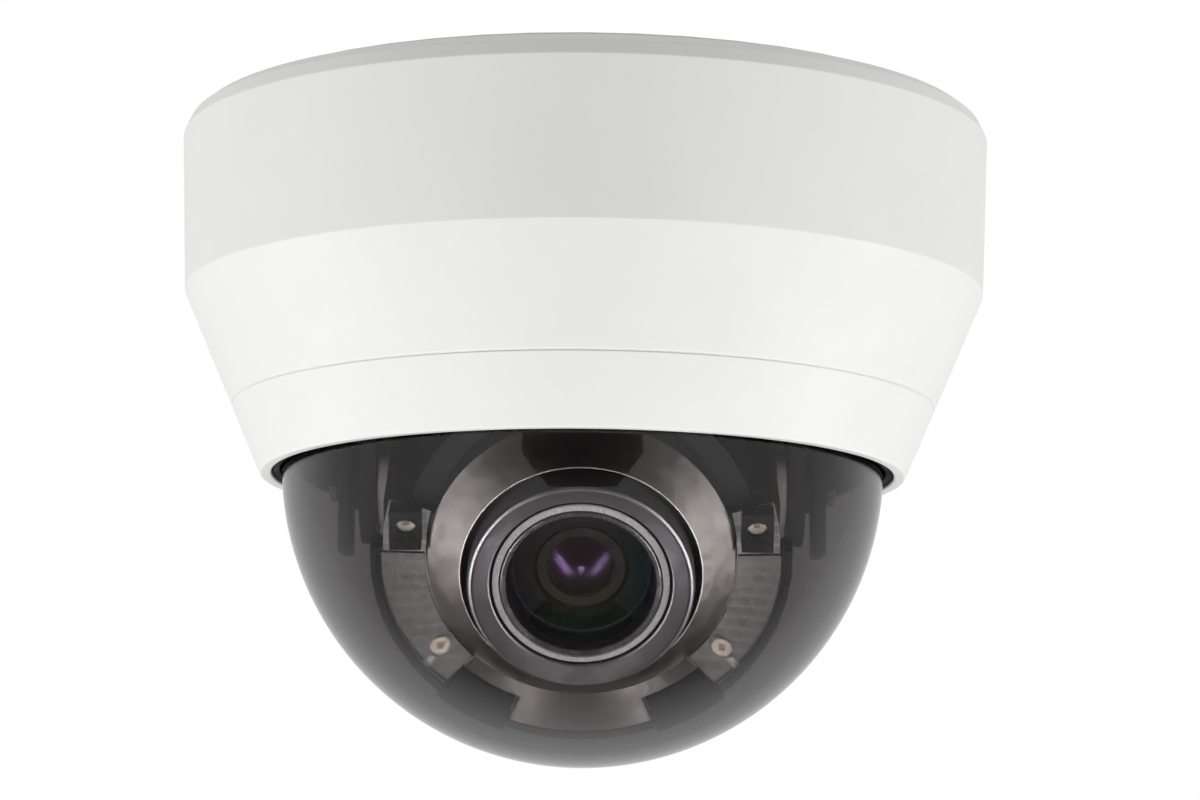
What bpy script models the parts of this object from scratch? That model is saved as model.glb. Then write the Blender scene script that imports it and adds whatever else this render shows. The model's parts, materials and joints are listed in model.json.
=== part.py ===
"""Dome CCTV camera: an indoor varifocal infrared dome, hung from a ceiling.

The origin is the centre of the ceiling mounting face, +Z points up to the ceiling, the body
hangs down to -Z and the lens looks towards -Y. Lengths below are in millimetres; MM turns
them into metres. The camera head is modelled in its own frame: an empty on the tilt axis
whose local Z is the lens axis, so stations along the lens start with w_ in the code.
"""
import math

import bmesh
import bpy
from mathutils import Vector

MM = 0.001
GAP = 0.3                    # clearance left between pieces that touch
NAME = "dome_cctv_camera"

# Facets of turned pieces
STEPS_LARGE = 48
STEPS_DOME = 40
STEPS_MID = 32
STEPS_LENS = 24
STEPS_SMALL = 12

# Lens: hood, barrel and glass
LENS_TILT = 35.0             # degrees that the lens looks below the horizon at rest
BARREL_R = 13.4
BARREL_WALL = 1.6
HOOD_WALL = 2.3
HOOD_PROUD = 3.5             # hood front edge in front of the face's inner edge
HOOD_LENGTH = 11.5
FLANGE_REACH = 5.2           # rotating flange outside the barrel
FLANGE_THICK = 2.0
RING_WALL = 1.9              # zoom and focus rings
RING_LENGTH = 4.2
LEVER_REACH = 6.4
LEVER_WIDE = 3.0
GLASS_THICK = 2.0
SMALL_GLASS_R = 4.6

# Rear of the lens: filter changer, image sensor and its board
REAR_FLANGE_THICK = 1.8
FILTER_HOUSING_THICK = 3.6
FILTER_STROKE = 7.0
FILTER_WIDE = 11.0
FILTER_THICK = 1.2
SENSOR_THICK = 1.2
BOARD_THICK = 1.2
SENSOR_BOARD_SIDE = 24.0
SENSOR_POST_R = 1.4
SENSOR_PIN_R = 0.8
LIGHT_PATH_R = 4.4

# Head: frame, infrared LED ring and tan face
FRAME_THICK = 4.1
FACE_WALL = 0.9
FACE_FALL = 5.2              # height of the face's cone
FACE_RING_R = 21.9           # outer edge of the face's cone
FACE_BORE_GAP = 0.9
LED_BAND = 6.1               # radial width of the LED board and its windows
LED_R = 1.4
LED_BODY = 0.5
LED_DOME = 0.7
HOUSING_WALL = 1.2
HOUSING_FLOOR = 0.8
LED_BOARD_THICK = 0.8
WINDOW_THICK = 0.7
PAD_THICK = 1.6
PAD_REACH = 3.7              # pad's lobe over the LED board, inwards from its outer edge
CHEEK_IN = 24.0
CHEEK_THICK = 4.2
CHEEK_HALF = 6.5

# Yoke that carries the head
ARM_THICK = 2.2
ARM_HALF = 7.0
ARM_ROUND = 8.2
ARM_SIDE_GAP = 0.5           # between the LED housing and the yoke's arms
CLAMP_THICK = 1.8
CLAMP_HALF = 4.0
CLAMP_STANDOFF = 1.2
SCREW_R = 1.25
SCREW_HOLE_R = 1.55
SCREW_HEAD_R = 2.1
SCREW_HEAD = 1.3

# Dome and cover
PIVOT_DROP = 3.5             # tilt axis below the dome's centre
DOME_CLEARANCE = 1.13
DOME_WALL = 2.5
SHOULDER = 15.5              # cover outside the dome
COVER_WALL = 2.4
LIP_WIDTH = 1.7
LIP_GAP = 1.5                # ring of shadow between dome and lip
COVER_CHAMFER = 3.3
COVER_STRAIGHT = 23.0
SEAM_FROM_LIP = 10.2

# Base and the electronics bay above the head
BASE_THICK = 2.4
BASE_RIM = 2.0
BASE_RIM_DEPTH = 14.0
BASE_INSET = 5.0             # base disc inside the cover's largest radius
CABLE_ENTRY_R = 10.0
CABLE_ENTRY_WALL = 1.4       # plate left between the cable entry and a post
MOUNT_HOLE_R = 2.4
MOUNT_HOLE_IN = 4.5          # mounting holes inside the base's rim
STANDOFF_R = 2.6
STANDOFF_IN = 5.8            # standoffs inside the main board's edge
STANDOFF_DEPTH = 5.0
PIN_R = 1.0
POST_R = 3.6
POST_IN = 5.4                # posts inside the base's rim
POST_HOLE_DEEP = 7.5
POST_ANGLES = (90.0, 210.0, 330.0)
STANDOFF_ANGLES = (30.0, 150.0, 270.0)
FINGER_ANGLES = (30.0, 150.0, 270.0)
FINGER_HALF = 6.5            # degrees from the middle of a snap finger to its slots
MAIN_BOARD_THICK = 1.6
JACK_WIDE = 16.0
JACK_HIGH = 13.2
TERMINAL_WIDE = 10.0
TERMINAL_DEEP = 8.0
TERMINAL_HIGH = 8.0
CHIP_HALF = 8.5
CHIP_THICK = 1.2
SINK_HALF = 11.0
CARD_HALF_WIDE = 7.5
CARD_HALF_DEEP = 7.0
CARD_THICK = 1.6
PLUG_HALF_WIDE = 7.0
PLUG_HALF_DEEP = 2.0
PLUG_HIGH = 2.5
SWITCH_HALF = 2.25
SWITCH_HIGH = 3.5
BAY_ROOM = 3.6               # room under the tallest part on the main board
CHASSIS_THICK = 2.0
CHASSIS_SCREW_HEAD_R = 2.6
CHASSIS_SCREW_HEAD = 1.6
ACCESS_HOLE_R = 5.0
HUB_R = 15.0
HUB_WALL = 4.0
TURNTABLE_IN = 10.0          # turntable inside the ring of posts
TURNTABLE_THICK = 2.2
YOKE_PLATE_THICK = 1.8
WASHER_THICK = 1.0
NUT_THICK = 1.4
NUT_REACH = 3.6              # nut's flange outside the hub
NUT_WALL = 1.7
YOKE_SCREW_OUT = 5.4         # yoke screws outside the nut's flange
YOKE_SCREW_HEAD = 1.2
YOKE_EDGE = 1.1              # yoke's plate outside its arms
STOP_TAB_REACH = 4.0
STOP_PIN_R = 0.85
SWING_CLEARANCE = 1.7        # sensor board's corner below the yoke screws as the head tilts
RESET_OUT = 3.2              # reset button outside the turntable
RESET_ANGLE = -60.0
RESET_HOLE_R = 2.0
RESET_CAP_R = 1.5
RIBBON_WIDE = 8.0
RIBBON_THICK = 0.4

# Stations along the lens axis, measured from the tilt axis
w_hood = 30.5
w_face = w_hood - HOOD_PROUD
w_ring = w_face - FACE_FALL
w_window = w_ring - 0.2
w_led_dome = w_window - WINDOW_THICK - GAP
w_led_body = w_led_dome - LED_DOME
w_led_rear = w_led_body - LED_BODY
w_led_board = w_led_rear - GAP
w_floor = w_led_board - LED_BOARD_THICK - GAP
w_floor_rear = w_floor - HOUSING_FLOOR
w_frame = w_floor_rear - GAP
w_frame_rear = w_frame - FRAME_THICK
w_flange = w_frame_rear + GAP + FLANGE_THICK
w_flange_rear = w_flange - FLANGE_THICK
w_retainer_rear = w_frame_rear - GAP - 1.4
w_zoom = w_retainer_rear - 0.5
w_zoom_rear = w_zoom - RING_LENGTH
w_rib_rear = w_zoom_rear - GAP - 0.6
w_focus = w_rib_rear - GAP
w_focus_rear = w_focus - RING_LENGTH
w_collar_rear = w_focus_rear - GAP - 1.6
w_rear_flange = w_collar_rear - 4.7
w_barrel_rear = w_rear_flange - REAR_FLANGE_THICK
w_filter = w_barrel_rear - GAP
w_filter_rear = w_filter - FILTER_HOUSING_THICK
w_sensor = w_filter_rear - GAP
w_sensor_rear = w_sensor - SENSOR_THICK
w_board = w_sensor_rear - GAP
w_board_rear = w_board - BOARD_THICK
w_connector = w_board_rear - GAP
w_connector_rear = w_connector - 1.6
w_barrel_front = w_hood - 3.6
w_cell_flange = w_hood - 1.4
w_shelf = w_hood - 6.1

# Radii of the head
BARREL_BORE = BARREL_R - BARREL_WALL
FLANGE_R = BARREL_R + FLANGE_REACH
RING_BORE = BARREL_R + GAP
RING_R = RING_BORE + RING_WALL
LEVER_R = RING_R + LEVER_REACH
HOOD_BORE = BARREL_R + GAP
HOOD_R = HOOD_BORE + HOOD_WALL
FACE_BORE = HOOD_R + FACE_BORE_GAP
CELL_R = BARREL_BORE - GAP
GLASS_R = CELL_R - 1.3
LED_IN = FACE_RING_R + GAP
LED_OUT = LED_IN + LED_BAND
HOUSING_IN = LED_OUT + GAP
HOUSING_OUT = HOUSING_IN + HOUSING_WALL
PAD_OUT = HOUSING_IN + PAD_THICK
PAD_IN = LED_OUT - PAD_REACH
REAR_FLANGE_R = BARREL_R + 2.2
POST_U = FILTER_WIDE / 2 + 4.1
POST_V = SENSOR_BOARD_SIDE / 2 - 1.8
SENSOR_CORNER = SENSOR_BOARD_SIDE / math.sqrt(2)
REAR_SWEEP = math.hypot(w_board_rear, SENSOR_CORNER)

# Stations across the yoke
CHEEK_OUT = CHEEK_IN + CHEEK_THICK
ARM_IN = HOUSING_OUT + ARM_SIDE_GAP
ARM_OUT = ARM_IN + ARM_THICK
CLAMP_IN = ARM_OUT + GAP + CLAMP_STANDOFF
CLAMP_OUT = CLAMP_IN + CLAMP_THICK
HEAD_IN = CLAMP_OUT + GAP
HEAD_OUT = HEAD_IN + SCREW_HEAD

# Heights, from the ceiling down
z_board = -STANDOFF_DEPTH - GAP
z_board_low = z_board - MAIN_BOARD_THICK
z_parts = z_board_low - GAP
z_chassis = z_parts - JACK_HIGH - BAY_ROOM
z_chassis_low = z_chassis - CHASSIS_THICK
z_table = z_chassis_low - 0.4
z_table_low = z_table - TURNTABLE_THICK
z_yoke = z_table_low - GAP
z_yoke_low = z_yoke - YOKE_PLATE_THICK
z_washer_low = z_yoke - WASHER_THICK
z_nut = z_washer_low - GAP
z_nut_low = z_nut - NUT_THICK
z_screw_head = z_yoke_low - GAP
z_screw_low = z_screw_head - YOKE_SCREW_HEAD
z_pivot = min(z_screw_low, z_nut_low) - SWING_CLEARANCE - REAR_SWEEP
z_dome = z_pivot + PIVOT_DROP
z_lip = z_dome - 1.7

# Dome and cover, sized from what swings inside them
DOME_IN = max(
    math.hypot(HEAD_OUT, PIVOT_DROP),
    math.hypot(PAD_OUT, w_ring + 0.2) + PIVOT_DROP,
    math.hypot(HOOD_R, w_hood) + PIVOT_DROP,
) + DOME_CLEARANCE
DOME_R = DOME_IN + DOME_WALL
BODY_R = DOME_R + SHOULDER
LIP_IN = DOME_R + LIP_GAP
LIP_OUT = LIP_IN + LIP_WIDTH
SHELF_R = LIP_IN + 1.4
z_shelf = z_lip + 3.1
z_flange = z_shelf + 1.4
z_flange_top = z_flange + 2.0
z_retainer = z_flange_top + GAP
z_retainer_top = z_retainer + 2.0
z_cover_top = -0.8
z_straight = z_cover_top - COVER_CHAMFER
z_crease = z_straight - COVER_STRAIGHT
z_seam = z_lip + SEAM_FROM_LIP
CREASE_R = BODY_R - 0.7
BASE_R = BODY_R - BASE_INSET
RIM_IN = BASE_R - BASE_RIM
MOUNT_HOLE_X = RIM_IN - MOUNT_HOLE_IN
POST_RING = RIM_IN - POST_IN - POST_R
BOARD_R = POST_RING - POST_R - 0.6
STANDOFF_RING = BOARD_R - STANDOFF_IN
CABLE_ENTRY_Y = POST_RING - POST_R - CABLE_ENTRY_WALL - CABLE_ENTRY_R
CHASSIS_R = POST_RING + POST_R
HUB_BORE_R = HUB_R - HUB_WALL
NUT_R = HUB_R + NUT_REACH
YOKE_SCREW_X = NUT_R + YOKE_SCREW_OUT
TURNTABLE_R = POST_RING - TURNTABLE_IN
YOKE_R = ARM_OUT + YOKE_EDGE
RESET_RING = TURNTABLE_R + RESET_OUT
CONE_SLOPE = (CREASE_R - LIP_OUT) / (z_crease - z_lip)
CONE_WALL = COVER_WALL * math.hypot(1.0, CONE_SLOPE)


# ---------------------------------------------------------------- helpers

def clear_scene():
    for obj in list(bpy.data.objects):
        bpy.data.objects.remove(obj, do_unlink=True)


def new_collection(name):
    group = bpy.data.collections.new(name)
    bpy.context.scene.collection.children.link(group)
    return group


clear_scene()
PARTS = new_collection(NAME)
CUTTERS = new_collection(NAME + "_cutters")


def new_empty(name, height=0.0, tilt=0.0):
    empty = bpy.data.objects.new(name, None)
    empty.location = (0.0, 0.0, height * MM)
    empty.rotation_euler = (math.radians(tilt), 0.0, 0.0)
    PARTS.objects.link(empty)
    return empty


PAN = new_empty("pan_axis")
HEAD = new_empty("tilt_axis", z_pivot, 90.0 + LENS_TILT)


def material(name, rgb, roughness, metallic=0.0, alpha=1.0):
    finish = bpy.data.materials.new(name)
    finish.use_nodes = True
    shader = finish.node_tree.nodes["Principled BSDF"]
    shader.inputs["Base Color"].default_value = (*rgb, 1.0)
    shader.inputs["Roughness"].default_value = roughness
    shader.inputs["Metallic"].default_value = metallic
    shader.inputs["Alpha"].default_value = alpha
    finish.diffuse_color = (*rgb, alpha)
    return finish


def add_object(name, mesh, parent=None, at=(0.0, 0.0, 0.0), turn=(0.0, 0.0, 0.0), helper=False):
    """Put a mesh in the scene; a helper is a cutter or a piece that is joined to another."""
    obj = bpy.data.objects.new(name, mesh)
    obj.location = Vector(at) * MM
    obj.rotation_euler = [math.radians(angle) for angle in turn]
    obj.parent = parent
    if helper:
        CUTTERS.objects.link(obj)
        obj.hide_render = True
        obj.display_type = "WIRE"
    else:
        PARTS.objects.link(obj)
    return obj


def finish(obj, look):
    """Give a piece its own copy of a look, named after the piece."""
    name, rgb, roughness, metallic = look
    obj.data.materials.clear()
    obj.data.materials.append(material(f"{obj.name}_{name}", rgb, roughness, metallic))
    return obj


def mesh_from(name, bm, smooth=True):
    mesh = bpy.data.meshes.new(name)
    bmesh.ops.recalc_face_normals(bm, faces=bm.faces)
    bm.to_mesh(mesh)
    bm.free()
    if smooth:
        mesh.shade_smooth()
        mesh.set_sharp_from_angle(angle=math.radians(35))
    return mesh


def box(name, low, high, **place):
    """A block between two corners."""
    bm = bmesh.new()
    bmesh.ops.create_cube(bm, size=1.0)
    low = Vector(low)
    high = Vector(high)
    bmesh.ops.scale(bm, vec=(high - low) * MM, verts=bm.verts)
    bmesh.ops.translate(bm, vec=(high + low) * MM / 2, verts=bm.verts)
    return add_object(name, mesh_from(name, bm), **place)


def turned(name, profile, steps=STEPS_LENS, closed=True, **place):
    """A profile of (radius, height) points swept round Z, listed down its outer side."""
    mesh = bpy.data.meshes.new(name)
    count = len(profile)
    edges = [(i, i + 1) for i in range(count - 1)]
    if closed:
        edges.append((count - 1, 0))
    mesh.from_pydata([(r * MM, 0.0, z * MM) for r, z in profile], edges, [])
    obj = add_object(name, mesh, **place)
    screw = obj.modifiers.new("turn", "SCREW")
    screw.steps = steps
    screw.render_steps = steps
    screw.use_merge_vertices = True
    screw.merge_threshold = 0.00001
    screw.use_smooth_shade = True
    return obj


def rod(name, radius, low, high, steps=STEPS_SMALL, **place):
    """A solid round bar along Z."""
    return turned(name, [(0, high), (radius, high), (radius, low), (0, low)], steps, False, **place)


def tube(name, outer, inner, low, high, steps=STEPS_LENS, **place):
    return turned(name, [(outer, high), (outer, low), (inner, low), (inner, high)], steps, **place)


def arc(radius, start, end, steps, centre=(0.0, 0.0)):
    """Points along an arc, angles in degrees."""
    points = []
    for i in range(steps + 1):
        angle = math.radians(start + (end - start) * i / steps)
        points.append((centre[0] + radius * math.cos(angle), centre[1] + radius * math.sin(angle)))
    return points


def circle(radius, centre=(0.0, 0.0), steps=STEPS_SMALL):
    return arc(radius, 0.0, 360.0, steps, centre)[:-1]


def rectangle(low, high):
    return [low, (high[0], low[1]), high, (low[0], high[1])]


def sector(inner, outer, start, end, steps):
    return arc(outer, start, end, steps) + arc(inner, end, start, steps)


def plate(name, outlines, low, high, **place):
    """A flat outline with holes, made thick along Z and welded to a mesh."""
    curve = bpy.data.curves.new(name, "CURVE")
    curve.dimensions = "2D"
    curve.fill_mode = "BOTH"
    curve.extrude = (high - low) * MM / 2
    for outline in outlines:
        spline = curve.splines.new("POLY")
        spline.points.add(len(outline) - 1)
        for point, (x, y) in zip(spline.points, outline):
            point.co = (x * MM, y * MM, 0.0, 1.0)
        spline.use_cyclic_u = True
    guide = bpy.data.objects.new(name + "_outline", curve)
    bpy.context.scene.collection.objects.link(guide)
    evaluated = guide.evaluated_get(bpy.context.evaluated_depsgraph_get())
    drawn = bpy.data.meshes.new_from_object(evaluated)
    bpy.data.objects.remove(guide, do_unlink=True)
    bpy.data.curves.remove(curve)
    bm = bmesh.new()
    bm.from_mesh(drawn)
    bpy.data.meshes.remove(drawn)
    bmesh.ops.remove_doubles(bm, verts=bm.verts, dist=0.000001)
    bmesh.ops.translate(bm, vec=(0.0, 0.0, (high + low) * MM / 2), verts=bm.verts)
    return add_object(name, mesh_from(name, bm), **place)


def combine(obj, other, operation):
    step = obj.modifiers.new(operation.lower(), "BOOLEAN")
    step.operation = operation
    step.solver = "EXACT"
    step.object = other
    return obj


def join(obj, *others):
    for other in others:
        combine(obj, other, "UNION")
    return obj


def cut(obj, *others):
    for other in others:
        combine(obj, other, "DIFFERENCE")
    return obj


def polar(radius, degrees):
    angle = math.radians(degrees)
    return radius * math.cos(angle), radius * math.sin(angle)


def cone_radius(height):
    """Outer radius of the cover's lower cone at a height."""
    return CREASE_R + CONE_SLOPE * (height - z_crease)


def head_to_yz(v, w):
    """World Y and Z of a point on the head's middle plane at rest."""
    tilt = math.radians(LENS_TILT)
    y = -v * math.sin(tilt) - w * math.cos(tilt)
    z = z_pivot + v * math.cos(tilt) - w * math.sin(tilt)
    return y, z


# ---------------------------------------------------------------- looks

WHITE_PLASTIC = ("white_plastic", (0.74, 0.74, 0.72), 0.38, 0.0)
SMOKED_PLASTIC = ("smoked_plastic", (0.10, 0.095, 0.10), 0.05, 0.0)
BLACK_RUBBER = ("black_rubber", (0.012, 0.012, 0.013), 0.75, 0.0)
BLACK_PLASTIC = ("black_plastic", (0.022, 0.022, 0.024), 0.45, 0.0)
GREY_PLASTIC = ("grey_plastic", (0.11, 0.11, 0.115), 0.45, 0.0)
TAN_METAL = ("tan_metal", (0.46, 0.41, 0.36), 0.35, 0.8)
STEEL = ("steel", (0.55, 0.55, 0.56), 0.32, 1.0)
ZINC = ("zinc", (0.42, 0.42, 0.43), 0.42, 1.0)
ALUMINIUM = ("aluminium", (0.60, 0.60, 0.61), 0.35, 1.0)
GREEN_BOARD = ("green_board", (0.02, 0.13, 0.06), 0.5, 0.0)
BLACK_BOARD = ("black_board", (0.02, 0.022, 0.025), 0.5, 0.0)
COATED_GLASS = ("coated_glass", (0.05, 0.04, 0.07), 0.03, 0.0)
CLEAR_PANEL = ("clear_panel", (0.30, 0.30, 0.30), 0.12, 0.0)
LED_EPOXY = ("led_epoxy", (0.62, 0.55, 0.42), 0.15, 0.0)
FOAM = ("foam", (0.010, 0.011, 0.012), 0.9, 0.0)


# ---------------------------------------------------------------- base and electronics bay

def make_base():
    base = turned("mounting_base", [(0, 0), (BASE_R, 0), (BASE_R, -BASE_RIM_DEPTH),
                                    (RIM_IN, -BASE_RIM_DEPTH), (RIM_IN, -BASE_THICK),
                                    (0, -BASE_THICK)], STEPS_LARGE, False)
    entry = rod("cable_entry", CABLE_ENTRY_R, -BASE_THICK - 1, 1, STEPS_LENS,
                at=(0, CABLE_ENTRY_Y, 0), helper=True)
    cut(base, entry)
    for side in (-1, 1):
        hole = rod(f"mount_hole_{side}", MOUNT_HOLE_R, -BASE_THICK - 1, 1,
                   at=(side * MOUNT_HOLE_X, 0, 0), turn=(0, 0, 10), helper=True)
        cut(base, hole)
    root = -BASE_THICK / 2
    for i, angle in enumerate(STANDOFF_ANGLES):
        x, y = polar(STANDOFF_RING, angle)
        pin_low = z_board_low - 0.6
        profile = [(0, root), (STANDOFF_R, root), (STANDOFF_R, -STANDOFF_DEPTH),
                   (PIN_R, -STANDOFF_DEPTH), (PIN_R, pin_low), (0, pin_low)]
        join(base, turned(f"standoff_{i}", profile, STEPS_SMALL, False, at=(x, y, 0), helper=True))
    for i, angle in enumerate(POST_ANGLES):
        x, y = polar(POST_RING, angle)
        low = z_chassis + GAP
        deep = low + POST_HOLE_DEEP
        profile = [(0, root), (POST_R, root), (POST_R, low), (SCREW_HOLE_R, low),
                   (SCREW_HOLE_R, deep), (0, deep)]
        join(base, turned(f"post_{i}", profile, STEPS_SMALL, False, at=(x, y, 0), helper=True))
    for i, middle in enumerate(FINGER_ANGLES):
        for side in (-1, 1):
            slot = box(f"finger_slot_{i}_{side}", (RIM_IN - 1.5, -0.6, -BASE_RIM_DEPTH - 1),
                       (BASE_R + 1, 0.6, -BASE_THICK - 2.0), turn=(0, 0, middle + side * FINGER_HALF),
                       helper=True)
            cut(base, slot)
    finish(base, WHITE_PLASTIC)


def make_main_board():
    notch = CABLE_ENTRY_R + 1.5
    top = math.sqrt(BOARD_R ** 2 - notch ** 2)
    start = math.degrees(math.atan2(top, notch))
    outline = arc(BOARD_R, start, start - 360.0 + 2 * (90.0 - start), STEPS_MID)
    outline += [(-notch, CABLE_ENTRY_Y - notch), (notch, CABLE_ENTRY_Y - notch)]
    holes = [circle(PIN_R + GAP, polar(STANDOFF_RING, angle)) for angle in STANDOFF_ANGLES]
    finish(plate("main_board", [outline, *holes], z_board_low, z_board), GREEN_BOARD)


def make_network_jack():
    left = -PLUG_HALF_WIDE - 1.5 - JACK_WIDE
    front = -6.0
    back = front + JACK_WIDE
    low = z_parts - JACK_HIGH
    jack = box("network_jack", (left, front, low), (left + JACK_WIDE, back, z_parts))
    middle = left + JACK_WIDE / 2
    mouth = box("jack_mouth", (middle - 5.9, front + 4, low + 1.6), (middle + 5.9, back + 1, low + 9.6),
                helper=True)
    latch = box("jack_latch", (middle - 2, front + 6, low + 9.0), (middle + 2, back + 1, low + 11.6),
                helper=True)
    finish(cut(jack, mouth, latch), STEEL)


def make_power_terminal():
    left = PLUG_HALF_WIDE + 5.0
    front = 4.0
    back = front + TERMINAL_DEEP
    low = z_parts - TERMINAL_HIGH
    block = box("power_terminal", (left, front, low), (left + TERMINAL_WIDE, back, z_parts))
    for i in range(2):
        x = left + TERMINAL_WIDE * (1 + 2 * i) / 4
        hole = box(f"wire_hole_{i}", (x - 1.4, front + 3.0, low + 2.2), (x + 1.4, back + 1.0, low + 5.2),
                   helper=True)
        screw = rod(f"wire_screw_{i}", 1.3, low - 1.0, low + 1.2, at=(x, front + 4.0, 0), helper=True)
        cut(block, hole, screw)
    finish(block, ("terminal_green", (0.03, 0.20, 0.09), 0.45, 0.0))


def make_board_chips():
    chip_x = SINK_HALF + 2.0
    chip_y = -SINK_HALF - PLUG_HALF_DEEP - 2.0
    chip_low = z_parts - CHIP_THICK
    chip = box("processor", (chip_x - CHIP_HALF, chip_y - CHIP_HALF, chip_low),
               (chip_x + CHIP_HALF, chip_y + CHIP_HALF, z_parts))
    finish(chip, BLACK_PLASTIC)

    fins = 6
    fin_thick = 1.4
    fin_deep = 6.0
    foot = 2.0
    top = chip_low - GAP
    pitch = (2 * SINK_HALF - fin_thick) / (fins - 1)
    comb = [(-SINK_HALF, top), (-SINK_HALF, top - foot - fin_deep)]
    for i in range(fins):
        left = -SINK_HALF + i * pitch
        if i:
            comb += [(left, top - foot), (left, top - foot - fin_deep)]
        comb += [(left + fin_thick, top - foot - fin_deep)]
        if i < fins - 1:
            comb += [(left + fin_thick, top - foot)]
    comb.append((SINK_HALF, top))
    sink = plate("heat_sink", [comb], -SINK_HALF, SINK_HALF, at=(chip_x, chip_y, 0), turn=(90, 0, 0))
    finish(sink, ALUMINIUM)

    card_x = -CARD_HALF_WIDE - 8.5
    card_front = 8.8 - BOARD_R
    card_low = z_parts - CARD_THICK
    socket = box("card_socket", (card_x - CARD_HALF_WIDE, card_front, card_low),
                 (card_x + CARD_HALF_WIDE, card_front + 2 * CARD_HALF_DEEP, z_parts))
    mouth = box("card_mouth", (card_x - CARD_HALF_WIDE + 1.8, card_front - 1.0, card_low + 0.4),
                (card_x + CARD_HALF_WIDE - 1.8, card_front + 2 * CARD_HALF_DEEP - 2.0, z_parts - 0.4),
                helper=True)
    finish(cut(socket, mouth), STEEL)

    plug = box("ribbon_connector", (-PLUG_HALF_WIDE, -PLUG_HALF_DEEP, z_parts - PLUG_HIGH),
               (PLUG_HALF_WIDE, PLUG_HALF_DEEP, z_parts))
    slot = box("ribbon_slot", (-RIBBON_WIDE / 2 - 0.4, -0.6, z_parts - PLUG_HIGH - 0.5),
               (RIBBON_WIDE / 2 + 0.4, 0.6, z_parts - 1.2), helper=True)
    finish(cut(plug, slot), GREY_PLASTIC)


def make_reset():
    x, y = polar(RESET_RING, RESET_ANGLE)
    body_low = z_parts - SWITCH_HIGH
    switch = box("reset_switch", (-SWITCH_HALF, -SWITCH_HALF, body_low),
                 (SWITCH_HALF, SWITCH_HALF, z_parts), at=(x, y, 0), turn=(0, 0, RESET_ANGLE))
    well = rod("plunger_well", RESET_CAP_R + GAP, body_low - 1, body_low + 1.6, at=(x, y, 0), helper=True)
    finish(cut(switch, well), BLACK_PLASTIC)
    tip = z_chassis - 1.5
    button = rod("reset_button", RESET_CAP_R, tip, body_low + 0.5, at=(x, y, 0))
    finish(button, ("button_grey", (0.30, 0.30, 0.31), 0.4, 0.0))


def make_chassis():
    holes = [circle(SCREW_HOLE_R, polar(POST_RING, angle)) for angle in POST_ANGLES]
    holes.append(circle(RESET_HOLE_R, polar(RESET_RING, RESET_ANGLE)))
    holes.append(circle(HUB_BORE_R, steps=STEPS_LENS))
    chassis = plate("chassis_plate", [circle(CHASSIS_R, steps=STEPS_LARGE), *holes],
                    z_chassis_low, z_chassis)
    hub = tube("hub", HUB_R, HUB_BORE_R, z_washer_low, z_chassis - 0.5, STEPS_LENS, helper=True)
    pin_x, pin_y = polar(TURNTABLE_R + STOP_TAB_REACH / 2 + 0.5, 90.0)
    stop = rod("stop_pin", STOP_PIN_R, z_table_low + 0.2, z_chassis - 1.0, at=(pin_x, pin_y, 0),
               helper=True)
    join(chassis, hub, stop)
    for side in (-1, 1):
        access = rod(f"screw_access_{side}", ACCESS_HOLE_R, z_chassis_low - 1, z_chassis + 1,
                     at=(side * MOUNT_HOLE_X, 0, 0), helper=True)
        cut(chassis, access)
    finish(chassis, ZINC)
    for i, angle in enumerate(POST_ANGLES, start=1):
        x, y = polar(POST_RING, angle)
        top = z_chassis + 5.0
        under = z_chassis_low - GAP
        low = under - CHASSIS_SCREW_HEAD
        profile = [(0, top), (SCREW_R, top), (SCREW_R, under), (CHASSIS_SCREW_HEAD_R, under),
                   (CHASSIS_SCREW_HEAD_R, low), (0, low)]
        screw = turned(f"chassis_screw_{i}", profile, STEPS_SMALL, False, at=(x, y, 0))
        finish(cut_cross(screw, x, y, low), STEEL)


def cut_cross(screw, x, y, low):
    """A cross recess in the head of a screw that points up."""
    for i, (wide, deep) in enumerate(((2.2, 0.6), (0.6, 2.2))):
        recess = box(f"{screw.name}_recess_{i}", (-wide / 2, -deep / 2, low - 1),
                     (wide / 2, deep / 2, low + 0.7), at=(x, y, 0), helper=True)
        cut(screw, recess)
    return screw


# ---------------------------------------------------------------- pan turntable and yoke

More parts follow.
